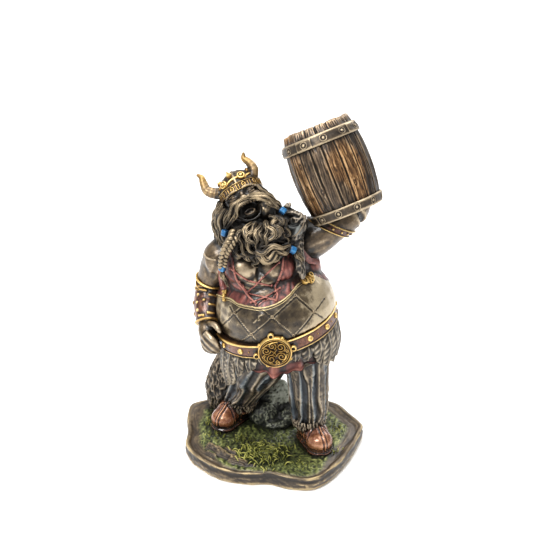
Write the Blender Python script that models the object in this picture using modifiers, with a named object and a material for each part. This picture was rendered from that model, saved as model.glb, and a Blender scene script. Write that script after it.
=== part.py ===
"""Viking warrior statuette: one cold-cast figure on rough ground, a cask held up on the left arm.

Lengths are in metres, +Z is up and the figure faces -Y. The origin is under the middle of the ground
slab. The figure is a free form: its points are shares of its height, in pose units with the soles at
SOLE_LEVEL. The slab, the cask, the belt and the trim have real sizes of their own.
"""

import math

import bmesh
import bpy
import numpy as np
from mathutils import Matrix, Vector

# The figure, from the soles to the tip of the higher horn, and the units its pose is given in.
FIGURE_HEIGHT = 0.1345
POSE_UNITS = 134.5
SOLE_LEVEL = 7.0
UNIT = FIGURE_HEIGHT / POSE_UNITS

# The ground slab.
BASE_LENGTH = 0.084
BASE_DEPTH = 0.069
BASE_THICKNESS = 0.007
BASE_BEVEL = 0.0012

# The cask.
CASK_LENGTH = 0.0395
CASK_END_DIAMETER = 0.0288
CASK_BELLY_DIAMETER = 0.0346
CASK_WALL = 0.0024
CASK_FLOOR = 0.005
CASK_CHIME = 0.0037
CASK_STAVES = 17
STAVE_GROOVE = 0.0004
HOOP_WIDTH = 0.0042
HOOP_THICKNESS = 0.0008

# The belt, its studs and its buckle.
BELT_WIDTH = 0.0058
BELT_THICKNESS = 0.0009
BELT_EDGE = 0.0010
BELT_STUDS = 11
STUD_DIAMETER = 0.0026
BUCKLE_DIAMETER = 0.0142
BUCKLE_THICKNESS = 0.0022

# The metal trim and the beads in the hair.
TRIM_CORD = 0.0016
BEAD_DIAMETER = 0.0030

# The quilted apron: how far apart its falling and its rising seams are, measured round the belly, how
# steep the rising ones are, and the seams' width and depth.
FALLING_SEAMS = 0.0165
RISING_SEAMS = 0.0242
RISING_SLOPE = 1.8
SEAM_WIDTH = 0.0026
SEAM_DEPTH = 0.0009

# How fine the cast skin is made, and how many triangles the solid keeps of it.
SKIN_VOXEL = 0.00065
SKIN_TRIANGLES = 3800
MILLIMETRES = 1000.0

# The head looks up and a little to its own right.
HEAD_MIDDLE = Vector((-13.5, 2.0, 126.0))
HEAD_UP = Vector((-0.435, 0.545, 0.714)).normalized()
HEAD_FRONT = Vector((-0.117, -0.823, 0.556)).normalized()
HEAD_SIDE = HEAD_UP.cross(HEAD_FRONT).normalized() * -1.0

# The cask's foot and lean, on the raised arm.
CASK_FOOT = (31.3, 2.0, 118.4)
CASK_AXIS = Vector((-0.3745, 0.307, 0.8746)).normalized()

# The belly, and the belt round it, in pose units and degrees.
BELLY_MIDDLE = (0.4, -2.0, 76.6)
BELLY_HALVES = (26.2, 27.0, 22.4)
BELT_MIDDLE = (0.7, -3.0, 69.2)
BELT_HALVES = (26.6, 26.9)
BELT_LEAN_DEG = -10.5


def new_collection(name):
    collection = bpy.data.collections.new(name)
    bpy.context.scene.collection.children.link(collection)
    return collection


def pose(x, y, z):
    """A point of the figure in metres: x to the figure's left, y to its back, z up, in pose units."""
    return Vector((x, y, z - SOLE_LEVEL)) * UNIT + Vector((0.0, 0.0, BASE_THICKNESS))


def head(side, front, up):
    """A point given along the head's own axes, as pose units for pose()."""
    return tuple(HEAD_MIDDLE + HEAD_SIDE * side + HEAD_FRONT * front + HEAD_UP * up)


def keep_in(obj, collection):
    for holder in list(obj.users_collection):
        holder.objects.unlink(obj)
    collection.objects.link(obj)
    return obj


def weld(mesh):
    """Closes a curve's loose caps and turns every face outwards."""
    work = bmesh.new()
    work.from_mesh(mesh)
    bmesh.ops.remove_doubles(work, verts=work.verts, dist=1e-6)
    bmesh.ops.recalc_face_normals(work, faces=work.faces)
    work.to_mesh(mesh)
    work.free()


def as_mesh(obj, collection):
    """Puts the evaluated mesh of a curve or a modified object in its place."""
    if not obj.users_collection:
        collection.objects.link(obj)
    bpy.context.view_layer.update()
    graph = bpy.context.evaluated_depsgraph_get()
    mesh = bpy.data.meshes.new_from_object(obj.evaluated_get(graph))
    made = bpy.data.objects.new(obj.name, mesh)
    made.matrix_world = obj.matrix_world.copy()
    bpy.data.objects.remove(obj)
    collection.objects.link(made)
    weld(mesh)
    return made


def settle(obj):
    """Moves an object's place and turn into its mesh."""
    bpy.context.view_layer.update()
    obj.data.transform(obj.matrix_world)
    obj.matrix_world = Matrix.Identity(4)
    return obj


def ball(collection, centre, halves, up=None, segments=20, rings=12):
    """An ellipsoid at a pose point, its third half length along up."""
    bpy.ops.mesh.primitive_uv_sphere_add(segments=segments, ring_count=rings, radius=1.0)
    obj = keep_in(bpy.context.object, collection)
    obj.data.transform(Matrix.Diagonal((*(Vector(halves) * UNIT), 1.0)))
    obj.location = pose(*centre)
    if up is not None:
        obj.rotation_mode = "QUATERNION"
        obj.rotation_quaternion = Vector(up).to_track_quat("Z", "Y")
    return settle(obj)


def head_ball(collection, place, halves):
    """An ellipsoid in the head's own axes: half lengths to the side, to the front and up."""
    bpy.ops.mesh.primitive_uv_sphere_add(segments=20, ring_count=12, radius=1.0)
    obj = keep_in(bpy.context.object, collection)
    obj.data.transform(Matrix.Diagonal((*(Vector(halves) * UNIT), 1.0)))
    axes = Matrix((HEAD_SIDE, HEAD_FRONT, HEAD_UP)).transposed().to_4x4()
    obj.data.transform(axes)
    weld(obj.data)
    obj.location = pose(*head(*place))
    return settle(obj)


def smooth_rows(rows, steps):
    """Rows of (x, y, z, radius) along a Catmull-Rom curve through the given ones."""
    ends = [tuple(rows[0])] + [tuple(row) for row in rows] + [tuple(rows[-1])]
    out = []
    for i in range(1, len(ends) - 2):
        for k in range(steps):
            t = k / steps
            row = []
            for p, q, r, s in zip(ends[i - 1], ends[i], ends[i + 1], ends[i + 2]):
                bend = (2 * p - 5 * q + 4 * r - s) * t * t + (3 * q - p - 3 * r + s) * t**3
                row.append(0.5 * (2 * q + (r - p) * t + bend))
            out.append(tuple(row))
    out.append(ends[-1])
    return out


def limb(collection, rows, steps=5, sides=2, closed=False):
    """A round limb, lock of hair or cord through rows of (x, y, z, radius) in pose units."""
    rows = smooth_rows(rows, steps) if steps else rows
    curve = bpy.data.curves.new("limb", "CURVE")
    curve.dimensions = "3D"
    curve.bevel_depth = UNIT
    curve.bevel_resolution = sides
    curve.use_fill_caps = not closed
    spline = curve.splines.new("POLY")
    spline.points.add(len(rows) - 1)
    for place, (x, y, z, radius) in zip(spline.points, rows):
        place.co = (*pose(x, y, z), 1.0)
        place.radius = max(radius, 0.15)
    spline.use_cyclic_u = closed
    return as_mesh(bpy.data.objects.new("limb", curve), collection)


def lock(collection, start, end, thick, sag, wave=1.0, turn=0.0):
    """A lock of hair from start to end: it swells, waves from side to side and ends in a point."""
    start, end, sag = Vector(start), Vector(end), Vector(sag)
    along = (end - start).normalized()
    across = along.cross(sag if sag.length > 0.1 else Vector((0.0, -1.0, 0.1))).normalized()
    rows = []
    for i in range(6):
        t = i / 5
        point = start.lerp(end, t) + sag * math.sin(math.pi * t)
        point += across * wave * math.sin(2.0 * math.pi * t + turn)
        rows.append((*point, thick * (0.75 + 0.55 * math.sin(math.pi * min(t * 1.3, 1.0))) * (1.0 - 0.75 * t**3)))
    return limb(collection, rows, steps=2, sides=1)


def turned(collection, profile, steps, foot, axis):
    """A turned solid from rows of (radius, height), its outer side running down, set along an axis."""
    mesh = bpy.data.meshes.new("turned")
    mesh.from_pydata([(r, 0.0, z) for r, z in profile], [(i, i + 1) for i in range(len(profile) - 1)], [])
    obj = bpy.data.objects.new("turned", mesh)
    collection.objects.link(obj)
    screw = obj.modifiers.new("turn", "SCREW")
    screw.steps = steps
    screw.render_steps = steps
    screw.use_merge_vertices = True
    screw.merge_threshold = 0.00001
    made = as_mesh(obj, collection)
    made.location = foot
    made.rotation_mode = "QUATERNION"
    made.rotation_quaternion = axis.to_track_quat("Z", "Y")
    return settle(made)


def stud(collection, place, out, diameter, height):
    """A low domed stud that stands out of a surface."""
    radius = diameter / 2.0
    profile = [(0.0, height), (radius * 0.7, height * 0.6), (radius, -radius * 0.8), (0.0, -radius * 0.8)]
    return turned(collection, profile, 6, place, out)


def cord_ring(collection, place, axis, radius, cord, across=16, sides=6):
    """A torus of cord round an axis, in metres."""
    bpy.ops.mesh.primitive_torus_add(
        major_radius=radius, minor_radius=cord, major_segments=across, minor_segments=sides
    )
    obj = keep_in(bpy.context.object, collection)
    obj.location = place
    obj.rotation_mode = "QUATERNION"
    obj.rotation_quaternion = Vector(axis).to_track_quat("Z", "Y")
    return settle(obj)


def ground_outline():
    """The slab's uneven edge, as points in metres: corners are (degrees, share of the half size)."""
    corners = [
        (6, 0.99), (15, 1.04), (31, 1.03), (48, 1.09), (70, 1.03), (92, 0.99), (115, 1.08), (137, 1.25),
        (150, 1.16), (175, 0.98), (191, 1.00), (208, 0.98), (230, 0.96), (249, 0.91), (266, 0.86),
        (280, 0.97), (294, 1.05), (312, 0.96), (339, 0.90),
    ]
    rows = []
    for degrees, share in corners:
        angle = math.radians(degrees)
        x = math.cos(angle) * share * BASE_LENGTH / 2.0
        y = math.sin(angle) * share * BASE_DEPTH / 2.0
        rows.append((x, y, 0.0, 0.0))
    points = smooth_rows(rows + rows[:1], 2)[:-1]
    return [(x, y) for x, y, _, _ in points]


def ground_slab(collection):
    """The rough slab, flat underneath, with a worn upper edge."""
    curve = bpy.data.curves.new("slab", "CURVE")
    curve.dimensions = "2D"
    curve.fill_mode = "BOTH"
    curve.extrude = BASE_THICKNESS / 2.0
    spline = curve.splines.new("POLY")
    outline = ground_outline()
    spline.points.add(len(outline) - 1)
    for place, (x, y) in zip(spline.points, outline):
        place.co = (x, y, 0.0, 1.0)
    spline.use_cyclic_u = True
    slab = as_mesh(bpy.data.objects.new("slab", curve), collection)
    slab.data.transform(Matrix.Translation((0.0, 0.0, BASE_THICKNESS / 2.0)))
    bevel = slab.modifiers.new("worn edge", "BEVEL")
    bevel.width = BASE_BEVEL
    bevel.segments = 1
    bevel.limit_method = "ANGLE"
    bevel.angle_limit = math.radians(60.0)
    return as_mesh(slab, collection)


def ground_rocks(collection):
    """Rock ledges and turf that rise from the slab, and the mossy rock behind the legs."""
    for x, y, z, long, deep, high in (
        (-24, -17, 7.2, 8, 5, 1.6), (-13, -22, 7.0, 8, 4, 1.2), (27, -14, 7.2, 7, 8, 1.3),
        (-2, -15, 7.0, 14, 8, 1.3), (30, 8, 7.0, 7, 9, 1.2), (8, -20, 7.1, 10, 5, 1.2),
        (-34, 14, 7.0, 5, 8, 1.4), (5, 24, 7.0, 20, 7, 1.5),
    ):
        ball(collection, (x, y, z), (long, deep, high), segments=14, rings=8)
    for x, y, z, a, b, c in (
        (4, 20, 12, 9, 7, 9.5), (-5, 13, 11, 8, 7, 7.5), (7, 12, 9.5, 6, 6, 5), (-15, 22, 12, 9, 6, 9),
        (-2, 17, 17, 7, 5, 8),
    ):
        ball(collection, (x, y, z), (a, b, c), up=(0.15, -0.1, 1.0), segments=9, rings=6)


def legs(collection):
    """Thick legs in baggy striped trousers, over short boots with a fur cuff."""
    right = [(-7, 3, 55, 12.0), (-8.2, 6, 43, 9.8), (-12, 8, 34, 9.0), (-14, 11, 25, 8.2), (-15, 13, 18, 7.2)]
    left = [(14, 0, 55, 12.0), (15.8, -2, 44, 9.4), (16.0, -3, 34, 8.6), (16.0, -3, 25, 8.4), (15.5, -3, 19, 8.0)]
    for rows in (right, left):
        limb(collection, rows, sides=4)
        folds = 9
        for k in range(folds):
            angle = 2.0 * math.pi * k / folds + 0.3
            fold = []
            for x, y, z, radius in rows[:-1]:
                swing = angle + 0.012 * (z - 30.0) * (-1) ** k
                out = radius * 0.9
                fold.append((x + math.cos(swing) * out, y + math.sin(swing) * out, z, 1.7))
            limb(collection, fold, steps=3, sides=1)
    for heel, toe, ankle in (
        ((-16.5, 15, 12), (-26.5, -1.5, 11.5), (-15.5, 13.5, 17)),
        ((14.5, -1, 12), (20.5, -17.5, 12), (15, -3.5, 18)),
    ):
        heel, toe, ankle = Vector(heel), Vector(toe), Vector(ankle)
        middle = heel.lerp(toe, 0.55) + Vector((0, 0, 1.6))
        limb(collection, [(*heel, 6.0), (*middle, 6.2), (*toe, 5.6)], sides=4)
        toe_cap = toe.lerp(heel, 0.16)
        ball(collection, tuple(toe_cap + Vector((0, 0, 0.6))), (7.2, 6.6, 5.4))
        sole = heel.lerp(toe, 0.5)
        limb(collection, [(*(heel - Vector((0, 0, 4.0))), 6.6), (*(sole - Vector((0, 0, 4.0))), 6.4),
                          (*(toe - Vector((0, 0, 4.0))), 6.6)], sides=3)
        for k in range(12):
            angle = 2.0 * math.pi * k / 12
            out = Vector((math.cos(angle), math.sin(angle), 0.0))
            start = ankle + out * 7.6 + Vector((0, 0, 2.0))
            lock(collection, start, start + out * 1.4 - Vector((0, 0, 4.4)), 1.5, out * 0.5, wave=0.2)


def trunk(collection):
    """Great belly, chest, back and neck, and the short skirt under the belt."""
    ball(collection, BELLY_MIDDLE, BELLY_HALVES, segments=28, rings=18)
    ball(collection, (1, 0, 62), (25.2, 23.5, 15), segments=28, rings=16)
    ball(collection, (-3.5, 2, 96), (19.8, 17, 13))
    ball(collection, (-4, 9, 99), (20, 14, 12))
    ball(collection, (-0.5, 12, 80), (20.3, 13.0, 18))
    ball(collection, (-13.5, -11.5, 99.5), (8.2, 7.5, 7.5))
    ball(collection, (0.5, -11.5, 100.0), (8.2, 7.5, 7.5))
    limb(collection, [(-3, 7, 101, 12), (-6, 6, 109, 11), (-10, 5, 117, 9.5)], sides=4)
    # The skirt's hem hangs in soft folds.
    for k in range(16):
        angle = 2.0 * math.pi * k / 16 + 0.1
        x, y = math.cos(angle), math.sin(angle)
        low = 53.5 - 3.5 * max(0.0, -y) + 2.0 * x
        limb(collection, [(1 + x * 22, -1 + y * 20, 62, 5.0), (1 + x * 23.5, -1 + y * 21.3, low, 3.6)], steps=3, sides=2)


def tassets(collection):
    """The torn fur strips that hang from under the belt, longer on the figure's right."""
    count = 26
    for k in range(count):
        angle = 2.0 * math.pi * (k + 0.5) / count
        x, y = math.cos(angle), math.sin(angle)
        top = 66.0 + 4.7 * x
        front = max(0.0, -y) ** 2
        length = 17.0 - 9.0 * front + (6.5 * max(0.0, -x)) + 2.6 * math.sin(5.0 * angle + 1.0)
        reach = 25.2 + 0.9 * x
        start = (1.5 + x * 24.5, -2.5 + y * 24.0, top)
        middle = (1.5 + x * (reach + 0.4), -2.5 + y * 24.6, top - length * 0.5)
        end = (1.5 + x * (reach - 1.8), -2.5 + y * 23.0, top - length)
        limb(collection, [(*start, 2.2), (*middle, 3.0), (*end, 0.9)], steps=3, sides=1)


def right_arm(collection):
    """The arm that hangs bent, its fist on the belt, in a bracer under a ringed cuff."""
    limb(collection, [(-17, 4, 100, 8.6), (-22.0, 3, 97.5, 8.6), (-26.2, 5, 89.5, 7.6), (-28.8, 6, 82, 6.7)], sides=4)
    limb(collection, [(-28.8, 6, 82, 6.7), (-29.0, 0, 75, 6.5), (-28.0, -6, 68.5, 5.3)], sides=4)
    limb(collection, [(-28.2, -6, 68.5, 5.0), (-27.2, -10, 63.8, 5.8), (-25.8, -12.5, 60.8, 4.8)], sides=4)
    for k in range(4):
        spread = (k - 1.5) * 2.7
        start = (-28.6 + spread * 0.55, -13.2 - spread * 0.1, 65.8 + spread * 0.1)
        end = (-25.6 + spread * 0.7, -16.6, 59.6 + spread * 0.35)
        limb(collection, [(*start, 1.9), (*end, 1.7)], steps=3, sides=2)
    limb(collection, [(-27, -9.5, 70.0, 2.4), (-22.8, -14.0, 70.4, 1.7)], steps=3, sides=2)


def left_arm(collection):
    """The raised arm: the cask stands against it and the hand closes round the cask's back."""
    limb(collection, [(12, 5, 100, 9.4), (18.0, 4, 102.2, 8.8), (25.6, 4, 109.4, 7.6), (33.0, 7, 115.4, 6.9)], sides=4)
    limb(collection, [(33.0, 7, 115.4, 6.9), (36.0, 14.5, 121, 6.3), (34.0, 23, 130, 5.2)], sides=4)
    limb(collection, [(35.0, 23, 130, 5.0), (32.5, 24.5, 134, 6.0), (29, 25.5, 137.5, 5.0)], sides=4)
    for k in range(4):
        start = (32.0 - 1.2 * k, 26.2, 136.0 + 2.4 * (k - 1.5) * 0.6 + 2.0)
        end = (22.0 - 1.5 * k, 28.4 - 0.5 * k, 140.5 + 2.7 * (k - 1.5))
        limb(collection, [(*start, 2.3), (*end, 1.8)], steps=3, sides=2)


def face(collection):
    """Skull under its round helmet, brow, cheeks, a plain round nose and the jaw."""
    head_ball(collection, (0, 0, 0), (8.6, 9.0, 9.4))
    head_ball(collection, (0, 0.2, 3.4), (8.5, 8.8, 7.9))
    head_ball(collection, (0, 3.0, -6), (8.0, 7.0, 7.5))
    head_ball(collection, (0, 7.6, 1.2), (6.4, 2.2, 1.9))
    head_ball(collection, (0, 9.2, -2.6), (1.9, 2.4, 2.4))
    for side in (-1, 1):
        head_ball(collection, (side * 4.6, 6.8, -3.2), (2.6, 2.2, 2.2))


def mouth_cut(collection):
    """The hollow of the open mouth, pressed into the face under the moustache."""
    return head_ball(collection, (0.4, 10.8, -8.2), (5.0, 6.0, 4.4))


def hair(collection):
    """Beard, moustache, side hair and the plaits, all swept in heavy locks."""
    ball(collection, (-9, -5.5, 112.5), (11.0, 6.0, 9.0), segments=20, rings=12)
    ball(collection, (-20.5, 1, 112), (5.5, 8, 12))
    ball(collection, (1.0, 2, 112), (6.5, 8, 9.5))
    ball(collection, (-8.5, 8.5, 112), (11, 6.5, 11))
    # Beard: locks fan out from under the lip and gather in the middle of the chest.
    count = 9
    for k in range(count):
        t = k / (count - 1)
        arch = math.sin(math.pi * t)
        start = (-20.5 + 23.5 * t, -9.5 - 3.5 * arch, 118.8 + 1.5 * t - 0.8 * arch)
        end = (-18.0 + 20.0 * t, -15.5 - 5.5 * arch, 113.5 - 5.0 - 6.5 * arch + 2.0 * (k % 2))
        lock(collection, start, end, 2.5, (0, -2.4, 0.5), wave=1.5 * (-1) ** k, turn=0.4 * k)
    # Moustache: two thick sweeps from under the nose over the mouth's corners.
    limb(collection, [(-10.5, -12.6, 130.0, 1.7), (-15.5, -13.4, 127.2, 2.2), (-19.3, -12.6, 121.5, 1.9),
                      (-20.9, -11.6, 115.5, 1.3)], steps=3, sides=2)
    limb(collection, [(-10.5, -12.6, 130.4, 1.7), (-5.0, -12.4, 130.9, 2.4), (0.3, -10.8, 127.6, 2.1),
                      (3.2, -9.4, 123.9, 1.3)], steps=3, sides=2)
    # Side and back hair falls from under the helmet.
    count = 11
    for k in range(count):
        angle = math.pi * k / (count - 1)
        side, back = math.cos(angle), math.sin(angle)
        start = Vector(head(side * 8.2, -back * 8.0, -0.5))
        end = Vector((-8.5 + side * 12.5, 6.0 + back * 12.0, 99.0 + 2.5 * (-1) ** k))
        lock(collection, start, end, 3.0, Vector((side, back, 0.0)) * 2.6, wave=1.2, turn=0.8 * k)
    # The plaits and curls that hang off the beard.
    limb(collection, [(-14.4, -19.0, 114.1, 2.4), (-18.5, -19.4, 109.5, 2.6), (-22.2, -17.4, 104.0, 2.3),
                      (-22.2, -17.2, 101.0, 1.3)], steps=4, sides=2)
    limb(collection, [(-22.2, -17.4, 101.0, 1.4), (-21.9, -19.2, 97.5, 2.1), (-20.0, -20.4, 93.0, 0.6)], steps=4, sides=2)
    limb(collection, [(-10.5, -20.5, 111.5, 2.2), (-7.0, -21.2, 108.0, 2.3), (-1.0, -19.6, 108.4, 2.2),
                      (5.6, -15.4, 108.8, 1.4)], steps=4, sides=2)
    limb(collection, [(6.4, -14.6, 108.4, 1.5), (9.6, -15.6, 104.0, 2.4), (12.7, -16.0, 98.3, 0.7)], steps=4, sides=2)


def helmet(collection):
    """The helmet's raised bands, its point and its knobs."""
    cord_ring(collection, pose(*head(0, 0.2, 2.6)), HEAD_UP, 8.3 * UNIT, 1.35 * UNIT, across=14, sides=4)
    cord_ring(collection, pose(*head(0, 0.2, 5.0)), HEAD_UP, 7.7 * UNIT, 1.0 * UNIT, across=14, sides=4)
    for side, front, up in ((0.0, 3.6, 10.4), (-5.8, 5.2, 6.2), (5.4, 5.4, 6.6), (0.0, -4.0, 10.4)):
        out = Vector(head(side, front, up)) - Vector(head(0, 0, 3.0))
        foot = pose(*head(side * 0.95, front * 0.95, up - 0.4))
        profile = [(0.0, 2.6 * UNIT), (0.9 * UNIT, 1.0 * UNIT), (1.5 * UNIT, 0.0), (1.2 * UNIT, -1.5 * UNIT),
                   (0.0, -1.5 * UNIT)]
        turned(collection, profile, 6, foot, out.normalized())


def horns(collection):
    """Two horns that leave the helmet sideways, curl up and turn out at the tip."""
    right = [(*head(-5.5, 0.4, 3.4), 2.3), (-25.0, 3.5, 126.6, 2.3), (-28.6, 4.6, 127.4, 2.1),
             (-30.2, 6.2, 129.9, 1.7), (-31.2, 7.4, 132.2, 1.3), (-33.4, 8.2, 133.4, 0.8)]
    left = [(*head(4.5, 0.4, 5.4), 2.3), (-9.9, 3.5, 133.2, 2.3), (-9.2, 5.0, 136.8, 2.1),
            (-11.0, 6.6, 139.2, 1.7), (-13.2, 7.6, 140.8, 1.3), (-13.4, 8.2, 143.4, 0.8)]
    for rows in (right, left):
        limb(collection, rows, steps=4, sides=3)


def pelt(collection):
    """The beast's pelt: its head on the left shoulder, its hide down the back to the ground."""
    ball(collection, (8.0, -6.0, 117.5), (5.2, 5.2, 3.6), up=(0.3, -0.3, 1.0))
    limb(collection, [(6, -4, 119.0, 3.4), (9.5, -8.8, 119.2, 2.8), (12.4, -9.6, 120.4, 1.5)], sides=3)
    limb(collection, [(5.0, -3.6, 122, 2.0), (5.6, -3.0, 125.4, 1.0)], steps=3, sides=2)
    limb(collection, [(9.5, -7.6, 116.5, 2.4), (8.6, -12.4, 112.5, 1.7), (6.4, -13.2, 109.8, 1.0)], steps=3, sides=2)
    ball(collection, (10.5, 3, 109), (7.5, 8, 8))
    # The hide hangs from the shoulders in long tongues of fur.
    count = 9
    for k in range(count):
        t = k / (count - 1)
        x = -19.0 + 34.0 * t
        low = 34.0 + 6.0 * math.sin(math.pi * t * 2.0) * (t - 0.3) + 8.0 * t
        arch = math.sin(math.pi * t)
        collar = (x * 0.62 - 2.5, 9.0 + 5.0 * arch, 110.5 - 3.0 * abs(2.0 * t - 1.0))
        top = (x * 0.85 - 2.0, 15.5 + 4.0 * arch, 101.0)
        middle = (x * 1.02, 21.5 + 5.0 * arch, 72.0)
        end = (x * 1.05, 22.0 + 4.0 * arch, low)
        limb(collection, [(*collar, 3.4), (*top, 4.6), (*middle, 4.6), (*end, 2.4)], steps=4, sides=2)
    for x, y, low, thick in ((-23, 20, 8.5, 6.0), (-26.5, 22, 8.0, 5.4), (-28.5, 25, 8.0, 4.0), (-19, 25, 8.0, 5.6)):
        limb(collection, [(-11, 21, 56, 4.6), (x * 0.75 - 1.6, y, 37, thick * 0.85), (x - 0.5, y + 1, 20, thick),
                          (x, y + 1, low, thick * 0.8)], sides=3)


def clothes(collection):
    """The rolled edge of the apron, its straps, and the laces over the open vest."""
    ball(collection, (-6.5, -9.5, 94.0), (13.0, 10.5, 7.0))
    limb(collection, [(-24.0, -8.0, 88.5, 1.5), (-20.6, -14.6, 88.4, 1.7), (-13.5, -20.8, 88.2, 1.7),
                      (-5.5, -22.9, 89.2, 1.7), (4.5, -20.6, 91.8, 1.7), (12.5, -15.6, 95.4, 1.7),
                      (17.0, -10.0, 98.0, 1.5)], steps=3, sides=2)
    for rows in (
        [(-21.8, -15.4, 90.0, 1.9), (-22.8, -9.0, 98.5, 2.0), (-19.0, -1.5, 107.5, 2.2)],
        [(13.2, -16.0, 96.6, 2.0), (13.6, -10.5, 103.5, 2.4), (10.5, -2.5, 110.0, 2.4)],
    ):
        limb(collection, rows, steps=4, sides=2)
    for start, end in (
        ((2.0, -19.0, 103.2), (-13.0, -20.6, 93.6)), ((-17.6, -17.6, 98.4), (-0.5, -20.6, 95.2)),
        ((2.2, -19.8, 94.6), (-10.4, -22.6, 90.6)), ((-12.2, -21.6, 93.0), (0.6, -21.6, 92.0)),
    ):
        start, end = Vector(start), Vector(end)
        middle = start.lerp(end, 0.5) + Vector((0.0, -0.6, 0.2))
        limb(collection, [(*start, 1.0), (*middle, 1.0), (*end, 1.0)], steps=4, sides=1)


def cask(collection):
    """An open-topped cask of grooved staves between two broad hoops, empty inside."""
    end = CASK_END_DIAMETER / 2.0
    belly = CASK_BELLY_DIAMETER / 2.0
    foot = pose(*CASK_FOOT)

    def outer(height):
        share = 2.0 * height / CASK_LENGTH - 1.0
        return end + (belly - end) * (1.0 - abs(share) ** 2.2)

    rings = [1.0, 0.85, 0.68, 0.5, 0.32, 0.15, 0.0]
    outside = [(outer(CASK_LENGTH * share), CASK_LENGTH * share) for share in rings]
    inside = [(outer(CASK_LENGTH * share) - CASK_WALL, CASK_LENGTH * share) for share in (1.0, 0.68, 0.4)]
    floor = [(outer(CASK_FLOOR) - CASK_WALL, CASK_FLOOR), (0.0, CASK_FLOOR)]
    profile = list(reversed(floor)) + list(reversed(inside)) + outside + [(0.0, 0.0)]
    steps = 2 * CASK_STAVES
    shell = turned(collection, profile, steps, foot, CASK_AXIS)
    press_staves(shell.data, foot, outer)
    for low in (0.0, CASK_LENGTH - CASK_CHIME - HOOP_WIDTH):
        high = low + HOOP_WIDTH
        proud = HOOP_THICKNESS
        bite = CASK_WALL * 0.6
        hoop = [(outer(high) - bite, high), (outer(high) + proud, high), (outer(low) + proud, low + 1e-5),
                (outer(low) - bite, low + 1e-5), (outer(high) - bite, high)]
        turned(collection, hoop, steps, foot, CASK_AXIS)


def press_staves(mesh, foot, outer):
    """Presses a groove between neighbouring staves into the turned outside of the cask."""
    turn = CASK_AXIS.to_track_quat("Z", "Y")
    for vertex in mesh.vertices:
        spot = turn.inverted() @ (vertex.co - foot)
        radius = math.hypot(spot.x, spot.y)
        if radius < outer(min(max(spot.z, 0.0), CASK_LENGTH)) - CASK_WALL / 2.0:
            continue
        step = round(math.atan2(spot.y, spot.x) / (math.pi / CASK_STAVES))
        if step % 2:
            scale = (radius - STAVE_GROOVE) / radius
            vertex.co = foot + turn @ Vector((spot.x * scale, spot.y * scale, spot.z))


def belt_frame():
    """Where the belt's ring stands: its middle, and its lean to the side."""
    return Matrix.Translation(pose(*BELT_MIDDLE)) @ Matrix.Rotation(math.radians(BELT_LEAN_DEG), 4, "Y")


def belt(collection):
    """The belt with a raised edge above and below, a row of studs, and the round knotted buckle."""
    half = BELT_WIDTH / 2.0
    wide = BELT_HALVES[0] * UNIT
    deep = BELT_HALVES[1] * UNIT
    core = wide * 0.86
    proud = wide + BELT_THICKNESS
    profile = [(core, half), (proud, half), (wide, half - BELT_EDGE), (wide, BELT_EDGE - half), (proud, -half),
               (core, -half), (core, half)]
    ring = turned(collection, profile, 36, Vector((0.0, 0.0, 0.0)), Vector((0.0, 0.0, 1.0)))
    ring.data.transform(Matrix.Diagonal((1.0, deep / wide, 1.0, 1.0)))
    ring.data.transform(belt_frame())
    turn = belt_frame().to_3x3()
    for k in range(BELT_STUDS):
        angle = 2.0 * math.pi * (k + 0.5) / BELT_STUDS - math.pi / 2.0
        out = Vector((math.cos(angle), math.sin(angle), 0.0))
        place = belt_frame() @ Vector((out.x * wide, out.y * deep, 0.0))
        stud(collection, place, turn @ out, STUD_DIAMETER, 0.0008)
    radius = BUCKLE_DIAMETER / 2.0
    front = (turn @ Vector((-0.04, -1.0, 0.0))).normalized()
    middle = belt_frame() @ Vector((-0.04 * wide, -deep, 0.0))
    disc = [(0.0, BUCKLE_THICKNESS * 0.55), (radius * 0.8, BUCKLE_THICKNESS * 0.5), (radius * 0.86, BUCKLE_THICKNESS),
            (radius, BUCKLE_THICKNESS * 0.85), (radius, -0.002), (0.0, -0.002)]
    turned(collection, disc, 20, middle, front)
    side = front.cross(Vector((0.0, 0.0, 1.0))).normalized() * -1.0
    rise = side.cross(front).normalized() * -1.0
    knot = middle + front * BUCKLE_THICKNESS * 0.6
    for k in range(3):
        angle = 2.0 * math.pi * k / 3 + 0.5
        place = knot + (side * math.cos(angle) + rise * math.sin(angle)) * radius * 0.4
        cord_ring(collection, place, front, radius * 0.26, 0.0006, across=9, sides=4)
    for across, up in ((0.0, 1.12), (1.12, 0.05), (-1.12, 0.05)):
        place = middle + side * across * radius + rise * up * radius + front * 0.0002
        stud(collection, place, front, 0.0034, 0.0012)


def trim(collection):
    """Cuff rings and bracer edges, the ringed armband, the clasps and the beads."""
    cord = TRIM_CORD / 2.0
    forearm = Vector((-0.08, -0.64, -0.76))
    upper = Vector((-0.25, 0.12, -0.96))
    for place, axis, radius in (
        ((-28.0, 5.6, 84.6), upper, 7.1), ((-28.7, 5.6, 81.4), upper, 6.9),
        ((-28.1, -5.6, 69.0), forearm, 5.5),
    ):
        cord_ring(collection, pose(*place), axis, radius * UNIT, cord, across=10, sides=4)
    raised = Vector((0.78, 0.1, 0.62))
    for place, radius in (((24.0, 3.9, 108.1), 8.1), ((28.2, 5.3, 111.7), 7.7)):
        cord_ring(collection, pose(*place), raised, radius * UNIT, cord, across=10, sides=4)
    for place in ((-21.4, -17.2, 90.2), (13.4, -16.6, 97.2)):
        out = Vector((place[0] * 0.03, -1.0, 0.25)).normalized()
        stud(collection, pose(*place), out, 0.0048, 0.0013)
    for place in ((-20.9, -11.4, 114.7), (3.4, -9.4, 123.4), (6.4, -15.0, 108.3), (-22.2, -17.4, 101.1)):
        ball(collection, place, (BEAD_DIAMETER / 2.0 / UNIT,) * 3, segments=7, rings=5)


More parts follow.
